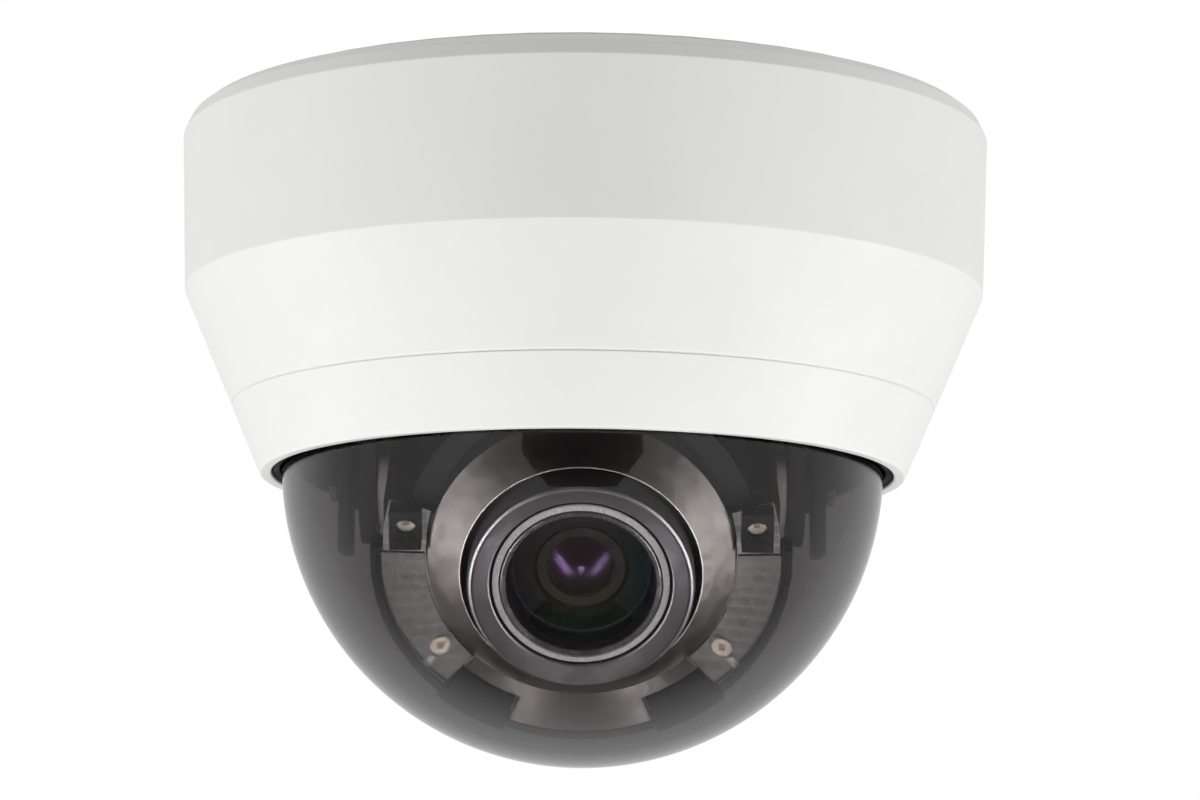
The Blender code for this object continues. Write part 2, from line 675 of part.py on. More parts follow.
def make_pan_stack():
    holes = [circle(HUB_R + GAP, steps=STEPS_LENS)]
    holes += [circle(SCREW_HOLE_R, (side * YOKE_SCREW_X, 0.0)) for side in (-1, 1)]
    table = plate("pan_turntable", [circle(TURNTABLE_R, steps=STEPS_MID), *holes], z_table_low, z_table,
                  parent=PAN)
    tab = box("stop_tab", (-1.0, -TURNTABLE_R - STOP_TAB_REACH, z_table_low),
              (1.0, -TURNTABLE_R + 2.0, z_table), helper=True)
    finish(join(table, tab), BLACK_PLASTIC)

    washer = tube("pan_friction_washer", NUT_R, HUB_R + 0.4, z_washer_low, z_yoke, STEPS_LENS)
    finish(washer, ("nylon", (0.55, 0.53, 0.48), 0.5, 0.0))
    spigot_r = HUB_BORE_R - GAP
    bore = spigot_r - NUT_WALL
    nut = turned("pan_nut", [(spigot_r, z_chassis_low + 1.0), (spigot_r, z_nut), (NUT_R, z_nut),
                             (NUT_R, z_nut_low), (bore, z_nut_low), (bore, z_chassis_low + 1.0)], STEPS_LENS)
    finish(nut, GREY_PLASTIC)

    holes = [circle(NUT_R + 0.4, steps=STEPS_LENS)]
    holes += [circle(SCREW_HOLE_R, (side * YOKE_SCREW_X, 0.0)) for side in (-1, 1)]
    yoke = plate("tilt_yoke", [circle(YOKE_R, steps=STEPS_MID), *holes], z_yoke_low, z_yoke, parent=PAN)
    side_outline = [(-ARM_HALF, z_yoke), *arc(ARM_ROUND, 212.0, 328.0, 10, (0.0, z_pivot)),
                    (ARM_HALF, z_yoke)]
    hole = circle(SCREW_HOLE_R, (0.0, z_pivot))
    for side, low in ((-1, -ARM_OUT), (1, ARM_IN)):
        arm = plate(f"yoke_arm_{side}", [side_outline, hole], low, low + ARM_THICK,
                    turn=(90, 0, 90), helper=True)
        join(yoke, arm)
    finish(yoke, BLACK_PLASTIC)

    for side, word in ((-1, "left"), (1, "right")):
        top = z_table_low + 1.6
        profile = [(0, top), (SCREW_R, top), (SCREW_R, z_screw_head), (SCREW_HEAD_R, z_screw_head),
                   (SCREW_HEAD_R, z_screw_low), (0, z_screw_low)]
        screw = turned(f"yoke_screw_{word}", profile, STEPS_SMALL, False,
                       at=(side * YOKE_SCREW_X, 0, 0), parent=PAN)
        finish(screw, STEEL)
        make_tilt_joint(side, word)


def make_tilt_joint(side, word):
    """Clamp, screw and washer on one end of the tilt axis."""
    turn = (90, 0, 90) if side > 0 else (90, 0, -90)
    top, low = z_pivot + 6.0, z_pivot - 9.8
    corner = 1.5
    outline = arc(corner, 0, 90, 3, (CLAMP_HALF - corner, top - corner))
    outline += arc(corner, 90, 180, 3, (corner - CLAMP_HALF, top - corner))
    outline += arc(corner, 180, 270, 3, (corner - CLAMP_HALF, low + corner))
    outline += arc(corner, 270, 360, 3, (CLAMP_HALF - corner, low + corner))
    hole = circle(SCREW_HOLE_R, (0.0, z_pivot))
    clamp = plate(f"tilt_clamp_{word}", [outline, hole], CLAMP_IN, CLAMP_OUT, turn=turn, parent=PAN)
    boss = plate(f"clamp_boss_{word}", [circle(3.2, (0.0, z_pivot)), hole],
                 ARM_OUT + GAP, CLAMP_IN + 0.4, turn=turn, helper=True)
    finish(join(clamp, boss), BLACK_PLASTIC)

    axis = (0, 90 * side, 0)
    centre = (0, 0, z_pivot)
    washer = tube(f"tilt_washer_{word}", 5.5, SCREW_HOLE_R, CHEEK_OUT + GAP, ARM_IN - GAP, STEPS_SMALL,
                  turn=axis, at=centre, parent=PAN)
    finish(washer, ("washer_white", (0.55, 0.53, 0.48), 0.5, 0.0))
    profile = [(0, HEAD_OUT), (SCREW_HEAD_R, HEAD_OUT), (SCREW_HEAD_R, HEAD_IN), (SCREW_R, HEAD_IN),
               (SCREW_R, CHEEK_IN + 0.6), (0, CHEEK_IN + 0.6)]
    screw = turned(f"tilt_screw_{word}", profile, STEPS_SMALL, False,
                   turn=axis, at=centre, parent=PAN)
    finish(screw, STEEL)


def make_ribbon():
    """A flat cable down through the hub, over the sensor board and into its connector."""
    v_plug = 3.5 + GAP
    w_mid = (w_connector + w_connector_rear) / 2
    corner_v = SENSOR_BOARD_SIDE / 2
    route = [(0.0, z_parts - PLUG_HIGH - GAP), (0.0, z_chassis), (0.2, z_nut_low - 0.5),
             head_to_yz(corner_v + 3.2, w_board_rear - 1.0),
             head_to_yz(corner_v - 1.0, w_board_rear - 1.6),
             head_to_yz(v_plug + 3.0, w_mid), head_to_yz(v_plug, w_mid)]
    points = smooth_route(route, 3)
    bm = bmesh.new()
    rows = [[bm.verts.new((x * MM, y * MM, z * MM)) for x in (-RIBBON_WIDE / 2, RIBBON_WIDE / 2)]
            for y, z in points]
    for above, below in zip(rows, rows[1:]):
        bm.faces.new((above[0], above[1], below[1], below[0]))
    mesh = bpy.data.meshes.new("ribbon_cable")
    bm.to_mesh(mesh)
    bm.free()
    ribbon = add_object("ribbon_cable", mesh, parent=PAN)
    sheet = ribbon.modifiers.new("thickness", "SOLIDIFY")
    sheet.thickness = RIBBON_THICK * MM
    sheet.offset = 0.0
    finish(ribbon, ("ribbon_white", (0.60, 0.60, 0.58), 0.4, 0.0))


def smooth_route(route, steps):
    """Points along a Catmull-Rom curve through a route."""
    ends = [route[0], *route, route[-1]]
    points = []
    for a, b, c, d in zip(ends, ends[1:], ends[2:], ends[3:]):
        for i in range(steps):
            t = i / steps
            points.append(tuple(
                0.5 * (2 * q + (r - p) * t + (2 * p - 5 * q + 4 * r - s) * t ** 2
                       + (3 * q - p - 3 * r + s) * t ** 3)
                for p, q, r, s in zip(a, b, c, d)))
    return [*points, route[-1]]


# ---------------------------------------------------------------- head: frame, LED ring, face

def make_camera_frame():
    frame_out = CHEEK_IN + 1.4
    lip = w_flange + GAP
    frame = turned("camera_frame", [(frame_out, w_frame), (frame_out, w_frame_rear),
                                    (FLANGE_R + GAP, w_frame_rear), (FLANGE_R + GAP, lip),
                                    (FLANGE_R - 1.6, lip), (FLANGE_R - 1.6, w_frame)], STEPS_MID,
                   parent=HEAD)
    for side in (-1, 1):
        low, high = sorted((side * CHEEK_IN, side * CHEEK_OUT))
        cheek = box(f"cheek_{side}", (low, -CHEEK_HALF, -CHEEK_HALF), (high, CHEEK_HALF, w_frame),
                    parent=HEAD, helper=True)
        join(frame, cheek)
        trunnion = rod(f"trunnion_{side}", SCREW_HOLE_R, CHEEK_IN - 1, CHEEK_OUT + 1,
                       turn=(0, 90 * side, 0), parent=HEAD, helper=True)
        cut(frame, trunnion)
    finish(frame, BLACK_PLASTIC)

    retainer = tube("rotor_retainer", CHEEK_IN - 0.4, RING_R - 1.4, w_retainer_rear,
                    w_frame_rear - GAP, STEPS_MID, parent=HEAD)
    finish(retainer, GREY_PLASTIC)


def pad_angles(side):
    """Start and end of a seal pad, in degrees round the lens."""
    return (-68.0, -47.0) if side > 0 else (-133.0, -112.0)


def make_led_ring():
    board = plate("led_board", [sector(LED_IN, LED_OUT, -196.0, 16.0, 26)],
                  w_led_board - LED_BOARD_THICK, w_led_board, parent=HEAD)
    finish(board, BLACK_BOARD)

    wall_middle = HOUSING_IN + HOUSING_WALL / 2
    housing = plate("led_housing", [sector(LED_IN, wall_middle, -182.6, 2.6, 24)],
                    w_floor_rear, w_floor, parent=HEAD)
    wall = plate("housing_wall", [sector(HOUSING_IN, HOUSING_OUT, -183.0, 3.0, 24)],
                 w_floor_rear - 3.2, w_window, parent=HEAD, helper=True)
    join(housing, wall)
    for side in (-1, 1):
        start, end = pad_angles(side)
        notch = plate(f"pad_notch_{side}", [sector(LED_OUT, PAD_OUT + 2, start - 0.6, end + 0.6, 6)],
                      w_floor_rear, w_window + 2, parent=HEAD, helper=True)
        low, high = sorted((side * (CHEEK_IN - 1), side * (HOUSING_OUT + 1)))
        relief = box(f"cheek_relief_{side}", (low, -CHEEK_HALF - GAP, w_floor_rear - 5),
                     (high, CHEEK_HALF + GAP, w_floor_rear - GAP / 2), parent=HEAD, helper=True)
        cut(housing, notch, relief)
    finish(housing, BLACK_PLASTIC)

    middle = (LED_IN + LED_OUT) / 2
    holder_v = middle * math.sin(math.radians(10.7))
    for side, word in ((-1, "left"), (1, "right")):
        turned_angle = (1.8, -46.0) if side > 0 else (-181.8, -134.0)
        pane = plate(f"led_window_{word}", [sector(LED_IN, LED_OUT, *turned_angle, 8)],
                     w_window - WINDOW_THICK, w_window, parent=HEAD)
        finish(pane, CLEAR_PANEL)
        start, end = pad_angles(side)
        pad = plate(f"seal_pad_{word}", [sector(HOUSING_IN, PAD_OUT, start, end, 6)],
                    w_floor_rear + GAP, w_ring + 0.2, parent=HEAD)
        middle_r = HOUSING_IN + PAD_THICK / 2
        lobe = plate(f"pad_lobe_{side}", [sector(PAD_IN, middle_r, start + 0.5, end - 0.5, 6)],
                     w_led_board + GAP, w_ring + 0.1, parent=HEAD, helper=True)
        finish(join(pad, lobe), FOAM)
        holder_u = side * (middle - 0.4)
        holder = box(f"led_holder_{word}", (holder_u - 2.2, holder_v - 3.0, w_led_rear),
                     (holder_u + 2.2, holder_v + 3.0, w_led_rear + 3.2), parent=HEAD)
        well = rod(f"led_well_{word}", LED_R + GAP, w_led_rear - 1, w_led_rear + 4,
                   at=(holder_u, holder_v, 0), parent=HEAD, helper=True)
        finish(cut(holder, well), BLACK_PLASTIC)

    places = [(-(middle - 0.4), holder_v), (middle - 0.4, holder_v)]
    places += [(side * middle * math.cos(math.radians(36.3)), -middle * math.sin(math.radians(36.3)))
               for side in (-1, 1)]
    for i, (u, v) in enumerate(places, start=1):
        profile = [(0, w_led_dome), (0.75 * LED_R, w_led_dome - 0.25), (LED_R, w_led_body),
                   (LED_R, w_led_rear), (0, w_led_rear)]
        led = turned(f"ir_led_{i}", profile, STEPS_SMALL, False, at=(u, v, 0), parent=HEAD)
        finish(led, LED_EPOXY)


def make_front_face():
    face = turned("front_face", [
        (FACE_BORE, w_face), (FACE_RING_R, w_ring), (FACE_RING_R, w_floor_rear),
        (FACE_RING_R - FACE_WALL, w_floor_rear), (FACE_RING_R - FACE_WALL, w_ring - FACE_WALL / 2),
        (FACE_BORE, w_face - 1.3 * FACE_WALL)], STEPS_MID, parent=HEAD)
    left_end, left_tongue = (angle + turn for angle, turn in zip(pad_angles(-1), (-0.4, 0.6)))
    right_tongue, right_end = (angle + turn for angle, turn in zip(pad_angles(1), (-0.6, 0.4)))
    outline = arc(LED_OUT, left_tongue, right_tongue, 6)
    outline += arc(PAD_IN - GAP, right_tongue, right_end, 3)
    outline += arc(FACE_RING_R - 0.5, right_end, left_end, 10)
    outline += arc(PAD_IN - GAP, left_end, left_tongue, 3)
    apron = plate("face_apron", [outline], w_ring - FACE_WALL - 0.3, w_ring - 0.3,
                  parent=HEAD, helper=True)
    finish(join(face, apron), TAN_METAL)


# ---------------------------------------------------------------- head: rotating lens unit

def make_lens_barrel():
    barrel = turned("lens_barrel", [
        (BARREL_R, w_barrel_front), (BARREL_R, w_flange), (FLANGE_R, w_flange),
        (FLANGE_R, w_flange_rear), (BARREL_R, w_flange_rear), (BARREL_R, w_rib_rear + 0.6),
        (RING_BORE + 1.2, w_rib_rear + 0.6), (RING_BORE + 1.2, w_rib_rear), (BARREL_R, w_rib_rear),
        (BARREL_R, w_focus_rear - GAP), (RING_R - 0.2, w_focus_rear - GAP),
        (RING_R - 0.2, w_collar_rear), (BARREL_R, w_collar_rear), (BARREL_R, w_rear_flange),
        (REAR_FLANGE_R, w_rear_flange), (REAR_FLANGE_R, w_barrel_rear), (6.0, w_barrel_rear),
        (6.0, w_rear_flange), (BARREL_BORE, w_rear_flange), (BARREL_BORE, w_barrel_front)],
        parent=HEAD)
    for i, (u, v) in enumerate((u, v) for u in (-POST_U, POST_U) for v in (-POST_V, POST_V)):
        root = w_barrel_rear + 1.0
        pin_low = w_board_rear - 0.5
        profile = [(0, root), (SENSOR_POST_R, root), (SENSOR_POST_R, w_sensor_rear),
                   (SENSOR_PIN_R, w_sensor_rear), (SENSOR_PIN_R, pin_low), (0, pin_low)]
        post = turned(f"sensor_post_{i}", profile, 8, False, at=(u, v, 0), parent=HEAD, helper=True)
        join(barrel, post)
    finish(barrel, BLACK_PLASTIC)


def make_lens_hood():
    rear = w_hood - HOOD_LENGTH
    mouth = CELL_R + 1.0 + GAP
    hood = turned("lens_hood", [
        (HOOD_R - 0.7, w_hood), (HOOD_R - 0.2, w_hood - 0.4), (HOOD_R, w_hood - 1.2), (HOOD_R, rear),
        (HOOD_BORE, rear), (HOOD_BORE, w_barrel_front + 0.7), (mouth, w_barrel_front + 0.7),
        (mouth, w_hood - 1.2)], STEPS_MID, parent=HEAD)
    finish(hood, GREY_PLASTIC)


def make_rings():
    for name, low, shade in (("zoom_ring", w_zoom_rear, 0.03), ("focus_ring", w_focus_rear, 0.05)):
        high = low + RING_LENGTH
        ring = tube(name, RING_R, RING_BORE, low, high, parent=HEAD)
        middle = (low + high) / 2
        lever = box(name + "_lever", (-LEVER_WIDE / 2, RING_R - 0.8, middle - LEVER_WIDE / 2),
                    (LEVER_WIDE / 2, LEVER_R, middle + LEVER_WIDE / 2), parent=HEAD, helper=True)
        finish(join(ring, lever), ("ring_black", (shade, shade, shade), 0.5, 0.0))


def bowl(radius, apex, edge, steps):
    """Profile of a lens surface from its apex out to its edge."""
    shares = [i / steps for i in range(steps + 1)]
    return [(radius * share, apex - (apex - edge) * share ** 2) for share in shares]


def make_front_cell():
    rear = w_hood - 11.5
    baffle = SMALL_GLASS_R + 2.4
    cell = turned("front_lens_cell", [
        (CELL_R + 1.0, w_cell_flange), (CELL_R + 1.0, w_cell_flange - 0.8),
        (CELL_R, w_cell_flange - 0.8), (CELL_R, rear), (baffle, rear), (baffle, rear + 1.0),
        (GLASS_R - 0.9, w_shelf), (GLASS_R + GAP, w_shelf), (GLASS_R + GAP, w_cell_flange)],
        STEPS_LENS, parent=HEAD)
    finish(cell, BLACK_PLASTIC)

    edge_rear = w_shelf + GAP
    edge = w_hood - 2.9
    apex = w_hood - 1.1
    front = bowl(GLASS_R, apex, edge, 4)
    back = bowl(GLASS_R, apex - GLASS_THICK, edge_rear, 4)
    lens = turned("front_lens", front + back[::-1], STEPS_LENS, False, parent=HEAD)
    finish(lens, COATED_GLASS)


def make_rear_cell():
    tube_front, tube_rear = w_flange - 1.1, w_focus_rear + 1.0
    nose_front = w_shelf - 0.8
    nose_r = SMALL_GLASS_R + 1.7
    cell = turned("rear_lens_cell", [
        (nose_r, nose_front), (nose_r, tube_front), (CELL_R, tube_front), (CELL_R, tube_rear),
        (CELL_R - 2.0, tube_rear), (CELL_R - 2.0, tube_front - 2.0),
        (SMALL_GLASS_R - 0.6, tube_front - 2.0), (SMALL_GLASS_R - 0.6, nose_front - 2.3),
        (SMALL_GLASS_R + GAP, nose_front - 2.3), (SMALL_GLASS_R + GAP, nose_front)], parent=HEAD)
    finish(cell, BLACK_PLASTIC)
    low, edge, apex = nose_front - 2.0, nose_front - 0.3, nose_front + 0.8
    front = bowl(SMALL_GLASS_R, apex, edge, 3)
    lens = turned("rear_lens", [*front, (SMALL_GLASS_R, low), (0, low)], STEPS_LENS, False, parent=HEAD)
    finish(lens, COATED_GLASS)


def make_sensor_stack():
    half_u = POST_U - SENSOR_POST_R - GAP
    slider_half = FILTER_WIDE / 2
    cavity_u = slider_half + GAP
    day_high = SMALL_GLASS_R - 1.4
    slider_low = day_high - 2 * FILTER_STROKE + 0.6
    cavity_low = slider_low - GAP
    cavity_high = day_high + FILTER_STROKE + GAP
    middle = (w_filter + w_filter_rear) / 2
    housing = box("filter_housing", (-half_u, cavity_low - 0.9, w_filter_rear),
                  (half_u, cavity_high + 0.9, w_filter), parent=HEAD)
    cavity = box("filter_cavity", (-cavity_u, cavity_low, middle - FILTER_THICK / 2 - GAP),
                 (cavity_u, cavity_high, middle + FILTER_THICK / 2 + GAP), parent=HEAD, helper=True)
    light = rod("light_path", LIGHT_PATH_R, w_filter_rear - 1, w_filter + 1, parent=HEAD, helper=True)
    finish(cut(housing, cavity, light), BLACK_PLASTIC)
    slider = box("ir_filter", (-slider_half, slider_low, middle - FILTER_THICK / 2),
                 (slider_half, day_high, middle + FILTER_THICK / 2), parent=HEAD)
    finish(slider, ("filter_red", (0.25, 0.06, 0.07), 0.08, 0.0))

    sensor = box("image_sensor", (-5.5, -4.5, w_sensor_rear), (5.5, 4.5, w_sensor), parent=HEAD)
    finish(sensor, ("sensor_glass", (0.05, 0.07, 0.06), 0.1, 0.0))
    half = SENSOR_BOARD_SIDE / 2
    holes = [circle(SENSOR_PIN_R + GAP, (u, v), 8) for u in (-POST_U, POST_U) for v in (-POST_V, POST_V)]
    board = plate("sensor_board", [rectangle((-half, -half), (half, half)), *holes],
                  w_board_rear, w_board, parent=HEAD)
    finish(board, GREEN_BOARD)
    socket = box("sensor_connector", (-6.0, -0.5, w_connector_rear), (6.0, 3.5, w_connector),
                 parent=HEAD)
    finish(socket, WHITE_PLASTIC)


# ---------------------------------------------------------------- cover and dome

def make_cover():
    seam = z_seam + GAP / 2
    land = BASE_R + 0.5
    inner_crease = CREASE_R - CONE_WALL
    cover = turned("dome_cover", [
        (BODY_R - 2.6, z_cover_top), (BODY_R - 1.0, z_cover_top - 1.2), (BODY_R, z_straight),
        (CREASE_R, z_crease), (cone_radius(seam), seam), (cone_radius(seam) - CONE_WALL, seam),
        (inner_crease, z_crease), (BODY_R - COVER_WALL, z_cover_top - 6.5),
        (land, z_cover_top - 5.2), (land, z_cover_top)], STEPS_LARGE)
    finish(cover, WHITE_PLASTIC)

    top = z_seam - GAP / 2
    tongue = cone_radius(seam) - CONE_WALL - GAP
    trim = turned("trim_ring", [
        (tongue, z_seam + 2.5), (tongue, top), (cone_radius(top), top), (LIP_OUT, z_lip),
        (LIP_IN, z_lip), (LIP_IN, z_shelf), (SHELF_R, z_shelf), (SHELF_R, z_seam + 2.5)], STEPS_LARGE)
    finish(trim, WHITE_PLASTIC)


def make_dome():
    inner = [(r, z) for r, z in arc(DOME_IN, -90.0, 0.0, 8, (0.0, z_dome))]
    outer = [(r, z) for r, z in arc(DOME_R, 0.0, -90.0, 8, (0.0, z_dome))]
    inner[0] = (0.0, z_dome - DOME_IN)
    outer[-1] = (0.0, z_dome - DOME_R)
    flange = SHELF_R - 0.4
    profile = [*inner, (DOME_IN, z_flange_top), (flange, z_flange_top), (flange, z_flange),
               (DOME_R, z_flange), *outer]
    finish(turned("dome_bubble", profile, STEPS_DOME, False), SMOKED_PLASTIC)

    gasket = turned("dome_gasket", [
        (flange, z_flange - GAP), (flange, z_shelf + GAP), (LIP_IN - GAP, z_shelf + GAP),
        (LIP_IN - GAP, z_lip + 0.5), (DOME_R + GAP, z_lip + 0.5), (DOME_R + GAP, z_flange - GAP)],
        STEPS_LARGE)
    finish(gasket, BLACK_RUBBER)
    retainer = tube("dome_retainer", SHELF_R - GAP, DOME_IN + 0.6, z_retainer, z_retainer_top,
                    STEPS_LARGE)
    finish(retainer, GREY_PLASTIC)


make_base()
make_main_board()
make_network_jack()
make_power_terminal()
make_board_chips()
make_reset()
make_chassis()
make_pan_stack()
make_ribbon()
make_camera_frame()
make_led_ring()
make_front_face()
make_lens_barrel()
make_lens_hood()
make_rings()
make_front_cell()
make_rear_cell()
make_sensor_stack()
make_cover()
make_dome()
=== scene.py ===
"""Looks of the dome CCTV camera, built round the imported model.

Turned pieces read their profile from the model's own solids, round its corners and sweep it
finely. Other pieces take the model's shape and gain rounded edges. What the model leaves plain,
such as glass, chips, solder and traces, is added here.
"""

import json
import math
import random

import bmesh
import bpy
from mathutils import Matrix, Vector


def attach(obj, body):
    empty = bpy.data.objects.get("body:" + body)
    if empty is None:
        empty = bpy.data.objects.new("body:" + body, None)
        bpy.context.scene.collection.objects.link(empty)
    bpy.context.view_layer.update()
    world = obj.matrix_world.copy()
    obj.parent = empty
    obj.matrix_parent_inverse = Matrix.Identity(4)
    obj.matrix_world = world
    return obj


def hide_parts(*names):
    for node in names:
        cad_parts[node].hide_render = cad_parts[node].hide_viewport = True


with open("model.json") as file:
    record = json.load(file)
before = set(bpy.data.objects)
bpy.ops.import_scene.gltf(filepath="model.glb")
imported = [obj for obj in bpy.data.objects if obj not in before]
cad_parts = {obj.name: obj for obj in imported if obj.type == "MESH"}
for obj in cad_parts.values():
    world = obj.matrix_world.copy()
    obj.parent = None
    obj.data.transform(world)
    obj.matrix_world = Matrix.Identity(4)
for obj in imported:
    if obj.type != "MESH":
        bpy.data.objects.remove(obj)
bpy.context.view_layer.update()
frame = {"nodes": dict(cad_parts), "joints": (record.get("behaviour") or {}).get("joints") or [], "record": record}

MM = 0.001
FINE = 192                   # segments of a large turned piece
MEDIUM = 96                  # segments of a piece in the camera head
SMALL = 40                   # segments of a diode or a capacitor
CORNER_STEPS = 4             # steps of a rounded corner
SHARP = 32                   # degrees between two faces, from which their edge stays sharp
ON_AXIS = 1e-6               # radius below which a profile meets its axis
SAME = 0.0001                # distance below which two sizes of the model are taken as one
LAMP_SHARE = 0.96            # share of a lamp's light that passes through glass

# Small parts on the main board, in millimetres from the object's axis.
CAPACITORS = ((29.5, 7.0), (29.5, -1.0))
CAN = ((0.0, 7.0), (2.2, 7.0), (2.6, 6.7), (3.0, 6.0), (3.0, 1.2), (2.8, 1.0), (3.0, 0.8), (3.0, 0.1),
       (0.0, 0.1))           # a capacitor's profile: radius, depth below the board
CHIPS = (((-34.0, -9.0), (-28.0, -3.0), 3.0), ((13.5, 17.0), (20.0, 22.0), 1.0),
         ((-22.0, 15.0), (-16.0, 19.5), 1.0), ((-6.5, -14.0), (-2.0, -9.0), 0.9),
         ((27.0, -16.0), (33.0, -11.0), 1.2))    # two corners and thickness
PART_FIELDS = ((-36.0, -27.0, 1.0, 11.0), (-6.0, 0.0, -30.0, -16.0), (22.0, 30.0, 13.0, 20.0),
               (-27.0, -14.0, 20.5, 26.0))       # left, right, front, back

NODES = frame["nodes"]
JOINTS = {joint["name"]: joint for joint in frame["joints"]}
BODY_OF = {node: body for body, nodes in frame["record"]["behaviour"]["bodies"].items()
           for node in nodes}

# The camera head's own frame: local Z is the lens axis and local X is the tilt axis.
PIVOT = Vector(JOINTS["tilt"]["pos_m"])
LENS_AXIS = Vector(JOINTS["lens_rotate"]["axis"]).normalized()
TILT_AXIS = Vector(JOINTS["tilt"]["axis"]).normalized()
UP_AXIS = LENS_AXIS.cross(TILT_AXIS)
HEAD = Matrix.Translation(PIVOT) @ Matrix((TILT_AXIS, UP_AXIS, LENS_AXIS)).transposed().to_4x4()
WORLD = Matrix.Identity(4)


# ---------------------------------------------------------------- reading the model

def local_points(node, matrix):
    """A node's corners in a frame."""
    back = matrix.inverted()
    return [back @ v.co for v in NODES[node].data.vertices]


def extent(node, matrix=HEAD):
    """Lowest and highest corner of a node in a frame."""
    points = local_points(node, matrix)
    low = Vector([min(p[i] for p in points) for i in range(3)])
    high = Vector([max(p[i] for p in points) for i in range(3)])
    return low, high


def cad_profile(node, matrix=WORLD):
    """A turned node's outline in its half plane at +X, as an ordered loop of (radius, height)."""
    points = local_points(node, matrix)
    near = 0.02 * MM
    spots = {}
    for i, p in enumerate(points):
        if abs(p.y) < near and p.x > -near:
            spots[i] = (round(max(p.x, 0.0), 5), round(p.z, 5))
    links = {}
    for edge in NODES[node].data.edges:
        a, b = edge.vertices
        if a in spots and b in spots and spots[a] != spots[b]:
            links.setdefault(spots[a], set()).add(spots[b])
            links.setdefault(spots[b], set()).add(spots[a])
    ends = [spot for spot in links if len(links[spot]) == 1]
    start = max(ends or links, key=lambda spot: (spot[1], spot[0]))
    loop = [start]
    last = None
    while True:
        ways = [spot for spot in sorted(links[loop[-1]]) if spot != last and spot not in loop[1:]]
        ways = [spot for spot in ways if spot != start or len(loop) > 2]
        if not ways or ways == [start]:
            break
        last = loop[-1]
        loop.append(next(spot for spot in ways if spot != start))
    area = sum(a[0] * b[1] - b[0] * a[1] for a, b in zip(loop, loop[1:] + loop[:1]))
    if area < 0:
        return loop
    return loop[::-1] if ends else [loop[0], *loop[:0:-1]]


def softened(profile, radius, closed=True, crisp=None):
    """A profile with its sharp corners rounded, by at most a third of the sides they join.

    Corners within the crisp range of heights get a quarter of the radius. A point just beyond each
    end of a corner keeps the smooth shading off the flat sides.
    """
    straight = math.radians(172)
    count = len(profile)
    result = []
    for i, (x, y) in enumerate(profile):
        here = Vector((x, y))
        if not closed and i in (0, count - 1):
            result.append((x, y))
            continue
        back = Vector(profile[i - 1]) - here
        ahead = Vector(profile[(i + 1) % count]) - here
        turn = back.angle(ahead, math.pi)
        if x < ON_AXIS or turn > straight:
            result.append((x, y))
            continue
        size = radius / 4 if crisp and crisp[0] < y < crisp[1] else radius
        reach = min(size / math.tan(turn / 2), back.length / 3, ahead.length / 3)
        start = here + back.normalized() * reach
        end = here + ahead.normalized() * reach
        before = start + back.normalized() * min(reach, 0.1 * MM)
        after = end + ahead.normalized() * min(reach, 0.1 * MM)
        result.append((before.x, before.y))
        for k in range(CORNER_STEPS + 1):
            t = k / CORNER_STEPS
            point = (1 - t) ** 2 * start + 2 * t * (1 - t) * here + t ** 2 * end
            result.append((point.x, point.y))
        result.append((after.x, after.y))
    return result


# ---------------------------------------------------------------- making pieces

def detail(name, mesh, look, node, matrix=WORLD):
    """Put an extra piece in the scene. It rides with a node."""
    piece = bpy.data.objects.new(name, mesh)
    bpy.context.scene.collection.objects.link(piece)
    piece.matrix_world = matrix
    mesh.materials.append(look)
    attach(piece, BODY_OF[node])
    return piece


def stand_for(node, mesh, look, matrix=WORLD):
    """Put a finer piece in a node's place. Its mesh is drawn in the given frame."""
    piece = detail(node + "_fine", mesh, look, node, matrix)
    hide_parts(node)


def revolve(name, profile, matrix=WORLD, steps=MEDIUM, closed=True):
    """Sweep a profile round the frame's Z."""
    bm = bmesh.new()
    rings = []
    for radius, height in profile:
        if radius < ON_AXIS:
            rings.append([bm.verts.new((0.0, 0.0, height))])
            continue
        rings.append([bm.verts.new((radius * math.cos(a), radius * math.sin(a), height))
                      for a in (2 * math.pi * k / steps for k in range(steps))])
    pairs = list(zip(rings, rings[1:]))
    if closed:
        pairs.append((rings[-1], rings[0]))
    for upper, lower in pairs:
        for k in range(steps):
            corners = [upper[k % len(upper)], lower[k % len(lower)],
                       lower[(k + 1) % len(lower)], upper[(k + 1) % len(upper)]]
            distinct = list(dict.fromkeys(corners))
            if len(distinct) > 2:
                bm.faces.new(distinct)
    bmesh.ops.transform(bm, matrix=matrix, verts=bm.verts)
    return bake(name, bm)


def bake(name, bm):
    """A mesh with smooth faces and sharp edges."""
    bmesh.ops.recalc_face_normals(bm, faces=bm.faces)
    mesh = bpy.data.meshes.new(name)
    bm.to_mesh(mesh)
    bm.free()
    mesh.shade_smooth()
    mesh.set_sharp_from_angle(angle=math.radians(SHARP))
    return mesh


def fine_turned(node, look, radius, matrix=WORLD, steps=MEDIUM, crisp=None):
    """A turned node made again with rounded corners and fine segments."""
    loop = cad_profile(node, matrix)
    closed = loop[0][0] >= ON_AXIS or loop[-1][0] >= ON_AXIS
    profile = softened(loop, radius * MM, closed=closed, crisp=crisp)
    stand_for(node, revolve(node + "_fine", profile, WORLD, steps, closed), look, matrix)


